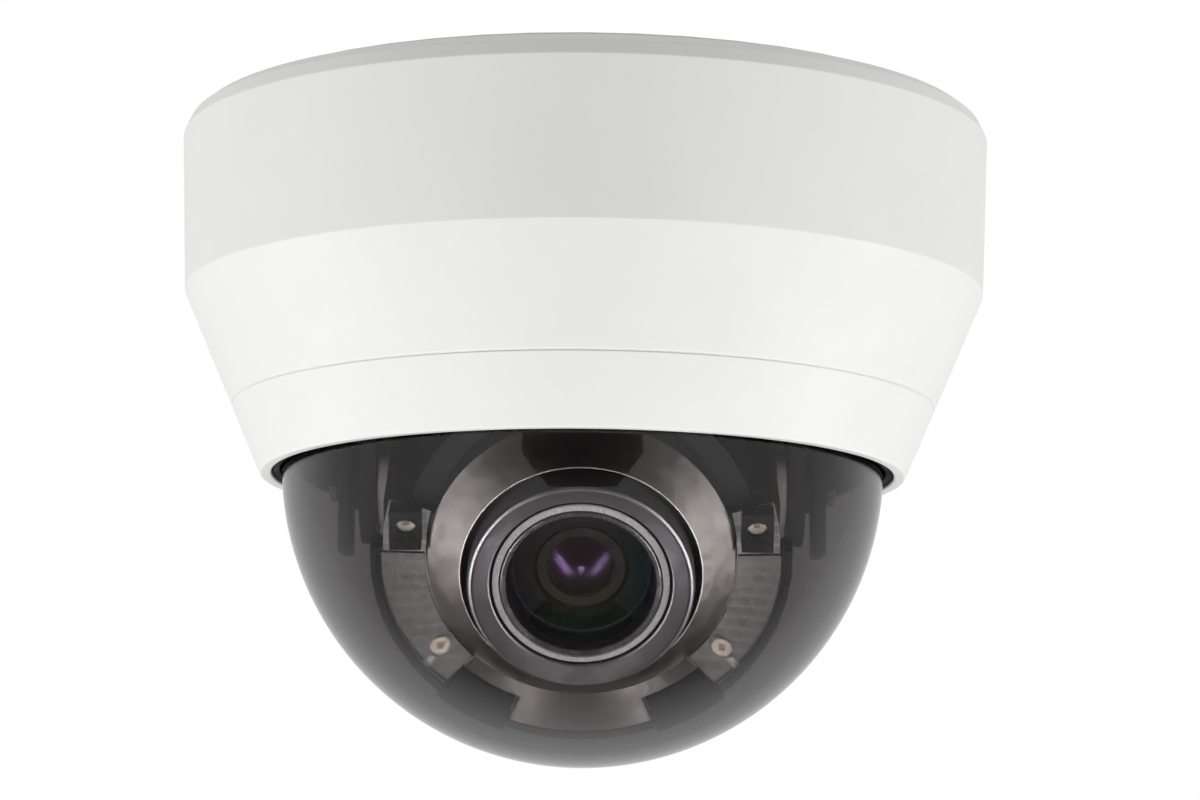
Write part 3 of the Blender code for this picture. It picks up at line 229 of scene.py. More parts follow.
def fine_copy(node, look, radius, segments=2):
    """A node made again from its own shape, with rounded edges."""
    corner = math.radians(35)
    bm = bmesh.new()
    bm.from_mesh(NODES[node].data)
    bmesh.ops.remove_doubles(bm, verts=bm.verts, dist=0.01 * MM)
    bmesh.ops.dissolve_limit(bm, angle_limit=math.radians(1.0), verts=bm.verts, edges=bm.edges)
    edges = [edge for edge in bm.edges
             if len(edge.link_faces) == 2 and edge.calc_face_angle(0.0) > corner]
    bmesh.ops.bevel(bm, geom=edges, offset=radius * MM, segments=segments, profile=0.5,
                    affect="EDGES", clamp_overlap=True)
    bmesh.ops.dissolve_degenerate(bm, dist=0.002 * MM, edges=bm.edges)
    stand_for(node, bake(node + "_fine", bm), look)


def block(name, low, high, matrix=WORLD, radius=0.1):
    """A block with rounded edges, in millimetres in a frame."""
    bm = bmesh.new()
    bmesh.ops.create_cube(bm, size=1.0)
    low = Vector(low) * MM
    high = Vector(high) * MM
    bmesh.ops.scale(bm, vec=high - low, verts=bm.verts)
    bmesh.ops.translate(bm, vec=(high + low) / 2, verts=bm.verts)
    reach = min(radius * MM, min(high - low) * 0.3)
    bmesh.ops.bevel(bm, geom=bm.edges[:], offset=reach, segments=2, profile=0.5, affect="EDGES")
    bmesh.ops.transform(bm, matrix=matrix, verts=bm.verts)
    return bake(name, bm)


def joined(name, meshes):
    """Several meshes as one."""
    bm = bmesh.new()
    for mesh in meshes:
        bm.from_mesh(mesh)
        bpy.data.meshes.remove(mesh)
    return bake(name, bm)


# ---------------------------------------------------------------- materials

class Look:
    """A Principled material with helpers for the nodes that give it its detail."""

    def __init__(self, name, colour, roughness, metallic=0.0, **sockets):
        self.material = bpy.data.materials.new(name)
        self.material.use_nodes = True
        self.tree = self.material.node_tree
        self.shader = self.tree.nodes["Principled BSDF"]
        self.shader.inputs["Base Color"].default_value = (*colour, 1.0)
        self.shader.inputs["Roughness"].default_value = roughness
        self.shader.inputs["Metallic"].default_value = metallic
        for socket, value in sockets.items():
            self.shader.inputs[socket.replace("_", " ")].default_value = value
        self.colour = colour
        self.roughness = roughness
        self.coords = self.node("ShaderNodeTexCoord").outputs["Object"]

    def node(self, kind, **settings):
        made = self.tree.nodes.new(kind)
        for name, value in settings.items():
            setattr(made, name, value)
        return made

    def link(self, source, target):
        self.tree.links.new(source, target)

    def noise(self, scale, detail=4.0, rough=0.55, stretch=(1, 1, 1)):
        """Noise with a given number of cells in a metre."""
        mapping = self.node("ShaderNodeMapping")
        mapping.inputs["Scale"].default_value = stretch
        self.link(self.coords, mapping.inputs["Vector"])
        texture = self.node("ShaderNodeTexNoise")
        texture.inputs["Scale"].default_value = scale
        texture.inputs["Detail"].default_value = detail
        texture.inputs["Roughness"].default_value = rough
        self.link(mapping.outputs["Vector"], texture.inputs["Vector"])
        return texture.outputs["Fac"]

    def ramp(self, source, low, high, start=0.35, end=0.65):
        """Turn a 0 to 1 source into numbers between two values."""
        mapped = self.node("ShaderNodeMapRange")
        mapped.inputs["From Min"].default_value = start
        mapped.inputs["From Max"].default_value = end
        mapped.inputs["To Min"].default_value = low
        mapped.inputs["To Max"].default_value = high
        self.link(source, mapped.inputs["Value"])
        return mapped.outputs["Result"]

    def mottle(self, source, other, start=0.35, end=0.65):
        """Vary the base colour towards another colour."""
        mix = self.node("ShaderNodeMix", data_type="RGBA")
        mix.inputs["A"].default_value = (*self.colour, 1.0)
        mix.inputs["B"].default_value = (*other, 1.0)
        self.link(self.ramp(source, 0.0, 1.0, start, end), mix.inputs["Factor"])
        self.link(mix.outputs["Result"], self.shader.inputs["Base Color"])
        return self

    def rough(self, source, spread):
        """Vary the roughness either side of its value."""
        low = max(self.roughness - spread, 0.0)
        self.link(self.ramp(source, low, self.roughness + spread), self.shader.inputs["Roughness"])
        return self

    def bump(self, source, height, strength=0.6):
        """Raise the surface by up to a height in millimetres."""
        made = self.node("ShaderNodeBump")
        made.inputs["Strength"].default_value = strength
        made.inputs["Distance"].default_value = height * MM
        self.link(source, made.inputs["Height"])
        self.link(made.outputs["Normal"], self.shader.inputs["Normal"])
        return self


def plastic(name, colour, roughness, grain=900.0, height=0.02, tint=0.9, **sockets):
    """Moulded plastic: fine grain, slight mottling and uneven gloss."""
    look = Look(name, colour, roughness, **sockets)
    look.mottle(look.noise(45.0, 3.0), tuple(c * tint for c in colour))
    look.rough(look.noise(160.0, 5.0), roughness * 0.18)
    look.bump(look.noise(grain, 3.0, 0.6), height)
    return look.material


def metal(name, colour, roughness, stretch=(1, 1, 1), scale=700.0, height=0.01, tint=0.82):
    """Metal with a drawn or pressed grain and slight tarnish."""
    look = Look(name, colour, roughness, 1.0)
    look.mottle(look.noise(80.0, 6.0), tuple(c * tint for c in colour))
    look.rough(look.noise(scale, 4.0, 0.7, stretch), roughness * 0.35)
    look.bump(look.noise(scale, 4.0, 0.7, stretch), height)
    return look.material


def rings(look, scale, detail=5.0):
    """Noise that depends only on the distance from the frame's Z, like a lathe's marks."""
    apart = look.node("ShaderNodeSeparateXYZ")
    look.link(look.coords, apart.inputs[0])
    flat = look.node("ShaderNodeCombineXYZ")
    look.link(apart.outputs["X"], flat.inputs["X"])
    look.link(apart.outputs["Y"], flat.inputs["Y"])
    length = look.node("ShaderNodeVectorMath", operation="LENGTH")
    look.link(flat.outputs[0], length.inputs[0])
    texture = look.node("ShaderNodeTexNoise", noise_dimensions="1D")
    texture.inputs["Scale"].default_value = scale
    texture.inputs["Detail"].default_value = detail
    texture.inputs["Roughness"].default_value = 0.75
    look.link(length.outputs["Value"], texture.inputs["W"])
    return texture.outputs["Fac"]


def glass(name, colour, ior, roughness=0.0, absorb=None, film=None, **sockets):
    """Glass with real refraction that lamps still light through.

    It can absorb a tint at a density, and carry a film of a thickness in nanometres and an index.
    """
    look = Look(name, colour, roughness, 0.0, Transmission_Weight=1.0, IOR=ior, **sockets)
    if film:
        look.shader.inputs["Thin Film Thickness"].default_value = film[0]
        look.shader.inputs["Thin Film IOR"].default_value = film[1]
    output = look.tree.nodes["Material Output"]
    path = look.node("ShaderNodeLightPath")
    clear = look.node("ShaderNodeBsdfTransparent")
    clear.inputs["Color"].default_value = (LAMP_SHARE, LAMP_SHARE, LAMP_SHARE, 1.0)
    mix = look.node("ShaderNodeMixShader")
    look.link(path.outputs["Is Shadow Ray"], mix.inputs["Fac"])
    look.link(look.shader.outputs["BSDF"], mix.inputs[1])
    look.link(clear.outputs["BSDF"], mix.inputs[2])
    look.link(mix.outputs["Shader"], output.inputs["Surface"])
    if absorb:
        tint, density = absorb
        volume = look.node("ShaderNodeVolumeAbsorption")
        volume.inputs["Color"].default_value = (*tint, 1.0)
        volume.inputs["Density"].default_value = density
        look.link(volume.outputs["Volume"], output.inputs["Volume"])
    look.bump(look.noise(60.0, 2.0), 0.004, 0.15)
    return look.material


def lathe_turned(name, colour, roughness, metallic, anisotropy, tint=0.85, height=0.008):
    """Metal with fine marks round the frame's Z, which stretch its highlights outwards."""
    look = Look(name, colour, roughness, metallic, Anisotropic=anisotropy)
    marks = rings(look, 2600.0)
    look.mottle(marks, tuple(c * tint for c in colour), 0.3, 0.7)
    look.rough(look.noise(400.0, 4.0), 0.05)
    look.bump(marks, height, 0.4)
    tangent = look.node("ShaderNodeTangent", direction_type="RADIAL", axis="Z")
    look.link(tangent.outputs["Tangent"], look.shader.inputs["Tangent"])
    return look.material


def painted_reflection_baffle_look():
    """The baffle behind the front glass, with painted reflections of the coated glass, purple on the left and teal
    on the right, and a black sector at its foot.
    """
    # painted reflections of the coated glass: purple to the left of the axis, teal to the right
    painted_purple_reflection = (0.11, 0.085, 0.125, 1.0)
    painted_teal_reflection = (0.035, 0.095, 0.115, 1.0)
    black = (0.002, 0.002, 0.004, 1.0)
    blend = 8 * MM               # half the width over which the painted purple reflection turns to the painted teal one
    edge = 0.2 * MM              # half the width of the sector's soft edge
    look = Look("lens_baffle", (0.05, 0.045, 0.06), 0.6)
    apart = look.node("ShaderNodeSeparateXYZ")
    look.link(look.coords, apart.inputs[0])
    side = look.ramp(apart.outputs["X"], 0.0, 1.0, -blend, blend)
    mix = look.node("ShaderNodeMix", data_type="RGBA")
    mix.inputs["A"].default_value = painted_purple_reflection
    mix.inputs["B"].default_value = painted_teal_reflection
    look.link(side, mix.inputs["Factor"])
    wide = look.node("ShaderNodeMath", operation="ABSOLUTE")
    look.link(apart.outputs["X"], wide.inputs[0])
    below = look.node("ShaderNodeMath", operation="ADD")
    look.link(wide.outputs[0], below.inputs[0])
    look.link(apart.outputs["Y"], below.inputs[1])
    foot = look.ramp(below.outputs[0], 0.0, 1.0, -edge, edge)
    dark = look.node("ShaderNodeMix", data_type="RGBA")
    dark.inputs["A"].default_value = black
    look.link(foot, dark.inputs["Factor"])
    look.link(mix.outputs["Result"], dark.inputs["B"])
    look.link(dark.outputs["Result"], look.shader.inputs["Base Color"])
    look.bump(look.noise(2000.0), 0.01, 0.3)
    return look.material


def board_look(name, colour, trace):
    """A solder-masked board with faint copper runs under the mask."""
    look = Look(name, colour, 0.42, Coat_Weight=0.25, Coat_Roughness=0.2)
    bricks = look.node("ShaderNodeTexBrick")
    bricks.offset = 0.37
    bricks.inputs["Scale"].default_value = 260.0
    bricks.inputs["Mortar Size"].default_value = 0.035
    bricks.inputs["Mortar Smooth"].default_value = 0.2
    bricks.inputs["Color1"].default_value = (*colour, 1.0)
    bricks.inputs["Color2"].default_value = (*(c * 1.25 for c in colour), 1.0)
    bricks.inputs["Mortar"].default_value = (*trace, 1.0)
    look.link(look.coords, bricks.inputs["Vector"])
    look.link(bricks.outputs["Color"], look.shader.inputs["Base Color"])
    look.bump(bricks.outputs["Fac"], 0.03, 0.4)
    return look.material


WHITE = plastic("cover_white", (0.80, 0.80, 0.79), 0.36, grain=1500.0, height=0.012, tint=0.975)
WHITE_INNER = plastic("base_white", (0.74, 0.74, 0.72), 0.45, tint=0.95)
BLACK = plastic("black_plastic", (0.030, 0.030, 0.033), 0.42, tint=0.7, height=0.03)
HOOD = lathe_turned("hood_grey", (0.40, 0.40, 0.415), 0.42, 0.9, 0.7)
BEZEL = lathe_turned("bezel_silver", (0.78, 0.78, 0.78), 0.25, 1.0, 0.3)
KNURL = plastic("knurled_grey", (0.70, 0.70, 0.71), 0.45, height=0.01)
# the baffle carries painted reflections of the coated front glass
BAFFLE_PAINTED_REFLECTION = painted_reflection_baffle_look()
GREY = plastic("charcoal_plastic", (0.09, 0.09, 0.095), 0.5, tint=0.8)
RUBBER = plastic("gasket_rubber", (0.012, 0.012, 0.013), 0.8, grain=600.0, height=0.05, tint=0.6)
FOAM = plastic("foam_black", (0.015, 0.017, 0.019), 0.9, grain=1300.0, height=0.12, tint=0.5)
CHIP = plastic("chip_black", (0.022, 0.022, 0.024), 0.55, grain=2500.0, height=0.01, tint=0.7)
NYLON = plastic("nylon", (0.62, 0.60, 0.55), 0.5, tint=0.93)
RIBBON = plastic("ribbon_film", (0.62, 0.62, 0.60), 0.3, tint=0.92)
BUTTON = plastic("button_grey", (0.30, 0.30, 0.31), 0.4)
TERMINAL = plastic("terminal_green", (0.03, 0.22, 0.10), 0.4)
STEEL = metal("screw_steel", (0.60, 0.60, 0.61), 0.28)
SHELL = metal("socket_shell", (0.62, 0.61, 0.58), 0.25, (1, 1, 12))
ZINC = metal("zinc_plate", (0.52, 0.52, 0.53), 0.42, scale=250.0, tint=0.75)
ALUMINIUM = metal("heat_sink_aluminium", (0.66, 0.66, 0.67), 0.34, (1, 14, 1))
SOLDER = metal("solder", (0.70, 0.70, 0.69), 0.3, scale=900.0)
GOLD = metal("gold_contact", (0.80, 0.60, 0.28), 0.25, scale=900.0)
BRONZE = lathe_turned("bronze_face", (0.62, 0.605, 0.575), 0.36, 1.0, 0.90, 0.9)
GREEN = board_look("green_board", (0.015, 0.11, 0.045), (0.03, 0.20, 0.09))
DARK_BOARD = board_look("black_board", (0.32, 0.32, 0.325), (0.50, 0.50, 0.49))
SMOKE = glass("smoked_dome", (1, 1, 1), 1.585, absorb=((0.125, 0.095, 0.100), 470.0))
FRONT_GLASS = glass("front_glass", (1, 1, 1), 1.62, film=(430.0, 1.38))
REAR_GLASS = glass("rear_glass", (0.05, 0.05, 0.06), 2.2, 0.10, Specular_Tint=(0.62, 0.38, 0.85, 1.0))
PANE = glass("window_pane", (0.80, 0.80, 0.80), 1.5, 0.22)
EPOXY = glass("led_epoxy", (0.98, 0.96, 0.90), 1.5, 0.03)
FILTER = glass("filter_glass", (0.55, 0.75, 0.80), 1.52, film=(560.0, 1.9))
DIE = plastic("led_die", (0.45, 0.36, 0.22), 0.35, grain=3000.0)
TAN = plastic("ceramic_tan", (0.42, 0.34, 0.24), 0.5, grain=3000.0)
CUP = plastic("led_cup", (0.90, 0.86, 0.78), 0.30, grain=3000.0)
SENSOR = plastic("sensor_die", (0.05, 0.06, 0.09), 0.18, grain=3000.0, tint=1.6)


# ---------------------------------------------------------------- outer shell

def make_cover():
    """Cover and trim ring, with a crisp seam between them, and the rings that hold the dome."""
    loop = cad_profile("dome_cover")
    seam = min(z for _, z in loop)
    near_seam = (seam - 0.8 * MM, seam + 0.4 * MM)
    fine_turned("dome_cover", WHITE, 0.55, steps=FINE, crisp=near_seam)
    fine_turned("trim_ring", WHITE, 0.35, steps=FINE, crisp=near_seam)
    outer = max(r for r, z in loop if z == seam)
    inner = min(r for r, z in loop if z == seam)
    over = seam + 0.02 * MM
    under = seam - 0.32 * MM
    fill = [(outer - 0.2 * MM, over), (outer - 0.3 * MM, under), (inner, under), (inner, over)]
    detail("seam_fill", revolve("seam_fill", fill, steps=FINE), WHITE, "trim_ring")
    fine_turned("dome_gasket", RUBBER, 0.15, steps=FINE)
    fine_turned("dome_retainer", GREY, 0.25, steps=FINE)


def make_dome():
    """The dome: a half ball under a short straight wall, with a flange at the top."""
    loop = cad_profile("dome_bubble")
    top = max(z for _, z in loop)
    tip = min(z for _, z in loop)
    flange_r = max(r for r, _ in loop)
    flange_z = min(z for r, z in loop if r == flange_r)
    outer = min(r for r, z in loop if abs(z - flange_z) < SAME)
    inner = min(r for r, z in loop if abs(z - top) < SAME)
    centre = tip + outer
    wall = centre + 1.0 * MM
    turns = 72
    angles = [math.pi / 2 * k / turns for k in range(turns + 1)]
    bowl_in = [(inner * math.sin(a), centre - inner * math.cos(a)) for a in angles]
    bowl_out = [(outer * math.sin(a), centre - outer * math.cos(a)) for a in angles[::-1]]
    rim = softened([(inner, wall), (inner, top), (flange_r, top), (flange_r, flange_z),
                    (outer, flange_z), (outer, wall)], 0.3 * MM, closed=False)
    profile = bowl_in + rim + bowl_out
    stand_for("dome_bubble", revolve("dome_bubble_fine", profile, WORLD, FINE, False), SMOKE)


# ---------------------------------------------------------------- camera head

def make_head():
    fine_turned("lens_hood", HOOD, 0.5, HEAD, MEDIUM)
    fine_turned("front_lens_cell", BLACK, 0.12, HEAD, MEDIUM)
    fine_turned("rear_lens_cell", BLACK, 0.15, HEAD, MEDIUM)
    fine_turned("rotor_retainer", GREY, 0.2, HEAD, MEDIUM)
    make_lenses()
    make_bezel()
    make_face()
    for node in ("camera_frame", "led_housing", "led_holder_left", "led_holder_right", "lens_barrel",
                 "zoom_ring", "focus_ring", "filter_housing"):
        fine_copy(node, BLACK, 0.12)
    for node in ("seal_pad_left", "seal_pad_right"):
        fine_copy(node, FOAM, 0.2)
    for node in ("led_window_left", "led_window_right"):
        fine_copy(node, PANE, 0.1)
    fine_copy("led_board", DARK_BOARD, 0.05)
    fine_copy("sensor_board", GREEN, 0.05)
    fine_copy("image_sensor", SENSOR, 0.05)
    fine_copy("ir_filter", FILTER, 0.05)
    fine_copy("sensor_connector", NYLON, 0.1)
    make_leds()


def make_lenses():
    """Both glasses, with parabolas in place of the model's steps."""
    steps = 24
    shares = [k / steps for k in range(steps + 1)]
    for node, look in (("front_lens", FRONT_GLASS), ("rear_lens", REAR_GLASS)):
        loop = cad_profile(node, HEAD)
        rim = max(r for r, _ in loop)
        edge_front = max(z for r, z in loop if abs(r - rim) < SAME)
        edge_rear = min(z for r, z in loop if abs(r - rim) < SAME)
        tip_front = extent(node)[1].z
        tip_rear = min(z for r, z in loop if r < SAME)
        front = [(rim * s, tip_front - (tip_front - edge_front) * s ** 2) for s in shares]
        back = [(rim * s, tip_rear - (tip_rear - edge_rear) * s ** 2) for s in shares[::-1]]
        stand_for(node, revolve(node + "_fine", front + back, WORLD, MEDIUM, False), look, HEAD)


def make_bezel():
    """The silver ring, the knurled ring and the baffle round the front glass."""
    cell = "front_lens_cell"
    level = 0.01 * MM
    loop = cad_profile(cell, HEAD)
    front = max(z for _, z in loop)
    rim = max(r for r, _ in loop)
    mouth = min(r for r, z in loop if abs(z - front) < level)
    shelf = min(z for r, z in loop if abs(r - mouth) < level)

    silver = [(0.05, 0.0), (0.15, 0.2), (0.6, 0.4), (0.8, 0.3), (0.8, 0.0)]
    profile = [(mouth + r * MM, front + z * MM) for r, z in silver]
    detail("lens_bezel", revolve("lens_bezel", profile, steps=FINE), BEZEL, cell, HEAD)

    teeth = 150
    tooth = 0.08 * MM
    bm = bmesh.new()
    rows = []
    for k in range(2 * teeth):
        angle = math.pi * k / teeth
        lift = tooth if k % 2 else 0.0
        spots = [(mouth + 1.0 * MM, front), (mouth + 1.1 * MM, front + 0.25 * MM + lift),
                 (rim - 0.2 * MM, front + 0.15 * MM + lift), (rim - 0.05 * MM, front)]
        rows.append([bm.verts.new((r * math.cos(angle), r * math.sin(angle), z)) for r, z in spots])
    bridge(bm, rows + rows[:1])
    detail("lens_knurl", bake("lens_knurl", bm), KNURL, cell, HEAD)

    hole = 6.7 * MM
    outside = mouth - 0.2 * MM
    disc = [(outside, shelf + 0.1 * MM), (outside, shelf - 0.1 * MM),
            (hole, shelf - 0.6 * MM), (hole, shelf - 0.4 * MM)]
    detail("lens_baffle", revolve("lens_baffle", disc, steps=FINE), BAFFLE_PAINTED_REFLECTION, cell, HEAD)


def bridge(bm, rows):
    """Join rows of four corners, each to the next, into a square tube."""
    for a, b in zip(rows, rows[1:]):
        for k in range(4):
            bm.faces.new((a[k], a[(k + 1) % 4], b[(k + 1) % 4], b[k]))


def make_face():
    """The turned face and its flat apron, which reaches further between the pads."""
    loop = cad_profile("front_face", HEAD)
    rim = max(r for r, _ in loop)
    top = max(z for r, z in loop if r > rim - 0.2 * MM)
    face = revolve("front_face_ring", softened(loop, 0.25 * MM), WORLD, FINE)

    inner = rim - 0.1 * MM
    outer = -extent("front_face")[0].y
    spots = [(math.hypot(p.x, p.y), math.degrees(math.atan2(p.y, p.x)))
             for p in local_points("front_face", HEAD) if math.hypot(p.x, p.y) > inner + 1.0 * MM]
    narrow = max(r for r, _ in spots if r < outer - 0.5 * MM)
    angles = [angle for _, angle in spots]
    wide = [angle for r, angle in spots if r > outer - SAME]
    first, last = min(angles), max(angles)
    step = 0.1                   # degrees over which the reach changes
    bends = [end + way * step for end in (min(wide), max(wide)) for way in (-1, 1)]
    turns = sorted({first, last, *bends, *(first + (last - first) * k / 48 for k in range(49))})
    bm = bmesh.new()
    rows = []
    for angle in turns:
        c, s = math.cos(math.radians(angle)), math.sin(math.radians(angle))
        reach = outer if min(wide) < angle < max(wide) else narrow
        over, under = top - 0.3 * MM, top - 1.2 * MM
        levels = [(inner, under), (inner, over), (reach, over), (reach, under)]
        rows.append([bm.verts.new((r * c, r * s, z)) for r, z in levels])
    bridge(bm, rows)
    bm.faces.new(rows[0])
    bm.faces.new(rows[-1][::-1])
    mesh = joined("front_face_fine", [face, bake("front_face_apron", bm)])
    stand_for("front_face", mesh, BRONZE, HEAD)


def make_leds():
    """Each diode as clear epoxy with a domed top over a die in a pale cup."""
    domed = 0.7 * MM
    for i in range(1, 5):
        node = f"ir_led_{i}"
        low, high = extent(node)
        centre = (low + high) / 2
        radius = (high.x - low.x) / 2
        place = HEAD @ Matrix.Translation((centre.x, centre.y, 0.0))
        body = high.z - domed
        dome = [(radius * 0.93 * math.sin(a), body + domed * math.cos(a))
                for a in (math.pi / 2 * k / 10 for k in range(11))]
        profile = [*dome, (radius * 0.93, body), (radius, body), (radius, low.z), (0.0, low.z)]
        stand_for(node, revolve(node + "_fine", profile, place, SMALL, False), EPOXY)
        floor = low.z / MM
        die = block(node + "_die", (-0.35, -0.35, floor + 0.12), (0.35, 0.35, floor + 0.3), place, 0.03)
        detail(node + "_die", die, DIE, node)
        bowl = [(0.0, 0.08), (0.5, 0.08), (0.85, 0.42), (0.92, 0.42), (0.92, 0.03), (0.0, 0.03)]
        cup = [(radius * share, low.z + height * MM) for share, height in bowl]
        detail(node + "_cup", revolve(node + "_cup", cup, place, SMALL, False), CUP, node)


def make_led_feet():
    """The pale feet of the lower two diodes, slanted outwards."""
    slant = 0.55
    top = extent("led_board")[1].z / MM + 0.02
    feet = []
    for i, side in ((3, -1), (4, 1)):
        low, high = extent(f"ir_led_{i}")
        place = (HEAD @ Matrix.Translation(((low.x + high.x) / 2, (low.y + high.y) / 2, 0.0))
                 @ Matrix.Rotation(side * slant, 4, "Z"))
        feet.append(block("foot", (-0.45, -4.2, top), (0.45, -1.9, top + 0.5), place))
    detail("led_feet", joined("led_feet", feet), CUP, "led_board")


# ---------------------------------------------------------------- yoke and turntable

def make_yoke():
    for node in ("pan_turntable", "tilt_yoke", "tilt_clamp_left", "tilt_clamp_right"):
        fine_copy(node, BLACK, 0.25)
    for node in ("tilt_washer_left", "tilt_washer_right"):
        fine_copy(node, NYLON, 0.15)
    for node in ("tilt_screw_left", "tilt_screw_right", "yoke_screw_left", "yoke_screw_right"):
        fine_copy(node, STEEL, 0.2, 3)
    fine_copy("ribbon_cable", RIBBON, 0.05)


# ---------------------------------------------------------------- base and electronics

def make_bay():
    fine_copy("mounting_base", WHITE_INNER, 0.2)
    fine_copy("chassis_plate", ZINC, 0.2)
    fine_copy("main_board", GREEN, 0.05)
    fine_turned("pan_friction_washer", NYLON, 0.1, steps=MEDIUM)
    fine_turned("pan_nut", GREY, 0.2, steps=MEDIUM)
    for i in range(1, 4):
        fine_copy(f"chassis_screw_{i}", STEEL, 0.2)
    fine_copy("network_jack", SHELL, 0.15)
    fine_copy("card_socket", SHELL, 0.08)
    fine_copy("power_terminal", TERMINAL, 0.15)
    fine_copy("processor", CHIP, 0.1)
    fine_copy("heat_sink", ALUMINIUM, 0.1)
    fine_copy("reset_switch", CHIP, 0.1)
    fine_copy("reset_button", BUTTON, 0.15)
    fine_copy("ribbon_connector", NYLON, 0.1)


def make_board_parts():
    """Capacitors, chips and small parts under the main board."""
    top = extent("main_board", WORLD)[0].z / MM - 0.02
    can = [(r * MM, (top - depth) * MM) for r, depth in CAN]
    cans = [revolve("can", can, Matrix.Translation((x * MM, y * MM, 0.0)), SMALL, False)
            for x, y in CAPACITORS]
    detail("capacitors", joined("capacitors", cans), ALUMINIUM, "main_board")

    chips = [block("chip", (*a, top - thick), (*b, top), radius=0.15) for a, b, thick in CHIPS]
    detail("board_chips", joined("board_chips", chips), CHIP, "main_board")

    pitch = 0.9
    legs = []
    for a, b, _ in CHIPS[1:]:
        for k in range(int((b[0] - a[0]) / pitch)):
            x = a[0] + 0.5 + k * pitch
            for y in (a[1] - 0.6, b[1]):
                legs.append(block("leg", (x, y, top - 0.25), (x + 0.35, y + 0.6, top), radius=0.05))
    detail("chip_legs", joined("chip_legs", legs), SOLDER, "main_board")
    make_small_parts(top)


def make_small_parts(top):
    """Fields of resistor-sized parts, with about two places in five left empty."""
    dice = random.Random(4)
    long, deep, high, end_long = 1.6, 0.8, 0.5, 0.3
    bodies = []
    ends = []
    for left, right, front, back in PART_FIELDS:
        y = front
        while y < back:
            x = left + dice.uniform(0.0, 0.6)
            while x < right - long:
                if dice.random() < 0.6:
                    stop = x + long - end_long
                    bodies.append(block("body", (x + end_long, y, top - high), (stop, y + deep, top),
                                        radius=0.05))
                    for end in (x, stop):
                        ends.append(block("end", (end, y, top - high), (end + end_long, y + deep, top),
                                          radius=0.05))
                x += 2.6
            y += 2.0
    detail("small_parts", joined("small_parts", bodies), TAN, "main_board")
    detail("small_ends", joined("small_ends", ends), SOLDER, "main_board")


def make_jack_contacts():
    """The eight gold contacts across the network socket's mouth."""
    low, high = (corner / MM for corner in extent("network_jack", WORLD))
    middle = (low.x + high.x) / 2
    pitch = 1.1
    pins = [block("pin", (middle - 4.2 + k * pitch, low.y + 5.0, low.z + 8.9),
                  (middle - 3.8 + k * pitch, high.y - 3.0, low.z + 9.4), radius=0.08) for k in range(8)]
    detail("jack_contacts", joined("jack_contacts", pins), GOLD, "network_jack")


# ---------------------------------------------------------------- camera, light and surroundings

def aim(obj, target):
    obj.rotation_euler = (Vector(target) - obj.location).to_track_quat("-Z", "Y").to_euler()


def make_camera():
    """A long lens that looks up at the object from slightly below it."""
    rise = math.radians(9.5)
    roll = math.radians(0.47)
    distance = 0.710
    target = Vector((0.0025, 0.0, -0.0425))
    data = bpy.data.cameras.new("camera")
    data.sensor_width = 36.0
    data.lens = 143.4
    camera = bpy.data.objects.new("camera", data)
    bpy.context.scene.collection.objects.link(camera)
    camera.location = target - distance * Vector((0.0, math.cos(rise), math.sin(rise)))
    aim(camera, target)
    camera.rotation_euler.rotate_axis("Z", roll)
    bpy.context.scene.camera = camera
    bpy.context.view_layer.update()
    return camera


def make_world():
    """Surroundings that are white to the camera, and to other light bright behind, dim in front.

    The front is nearly dark low down, and the top adds a little.
    """
    behind = 0.75
    world = bpy.data.worlds.new("white_tent")
    world.use_nodes = True
    tree = world.node_tree
    sky = tree.nodes["Background"]
    coords = tree.nodes.new("ShaderNodeTexCoord")
    apart = tree.nodes.new("ShaderNodeSeparateXYZ")
    tree.links.new(coords.outputs["Generated"], apart.inputs[0])

    def step_up(source, start, end, low, high):
        step = tree.nodes.new("ShaderNodeMapRange")
        step.interpolation_type = "SMOOTHSTEP"
        sockets = ("From Min", "From Max", "To Min", "To Max")
        for socket, value in zip(sockets, (start, end, low, high)):
            step.inputs[socket].default_value = value
        tree.links.new(source, step.inputs["Value"])
        return step.outputs["Result"]

    front = step_up(apart.outputs["Z"], -0.65, -0.15, 0.03, 0.50)
    top = step_up(apart.outputs["Z"], 0.2, 0.7, 0.0, 0.12)
    back = step_up(apart.outputs["Y"], 0.05, 0.70, 0.0, 1.0)
    shown = tree.nodes.new("ShaderNodeMix")
    tree.links.new(back, shown.inputs["Factor"])
    added = tree.nodes.new("ShaderNodeMath")
    tree.links.new(front, added.inputs[0])
    tree.links.new(top, added.inputs[1])
    tree.links.new(added.outputs[0], shown.inputs["A"])
    shown.inputs["B"].default_value = behind
    path = tree.nodes.new("ShaderNodeLightPath")
    mix = tree.nodes.new("ShaderNodeMix")
    tree.links.new(path.outputs["Is Camera Ray"], mix.inputs["Factor"])
    tree.links.new(shown.outputs["Result"], mix.inputs["A"])
    mix.inputs["B"].default_value = 1.0
    tree.links.new(mix.outputs["Result"], sky.inputs["Strength"])
    sky.inputs["Color"].default_value = (1.0, 1.0, 1.0, 1.0)
    bpy.context.scene.world = world


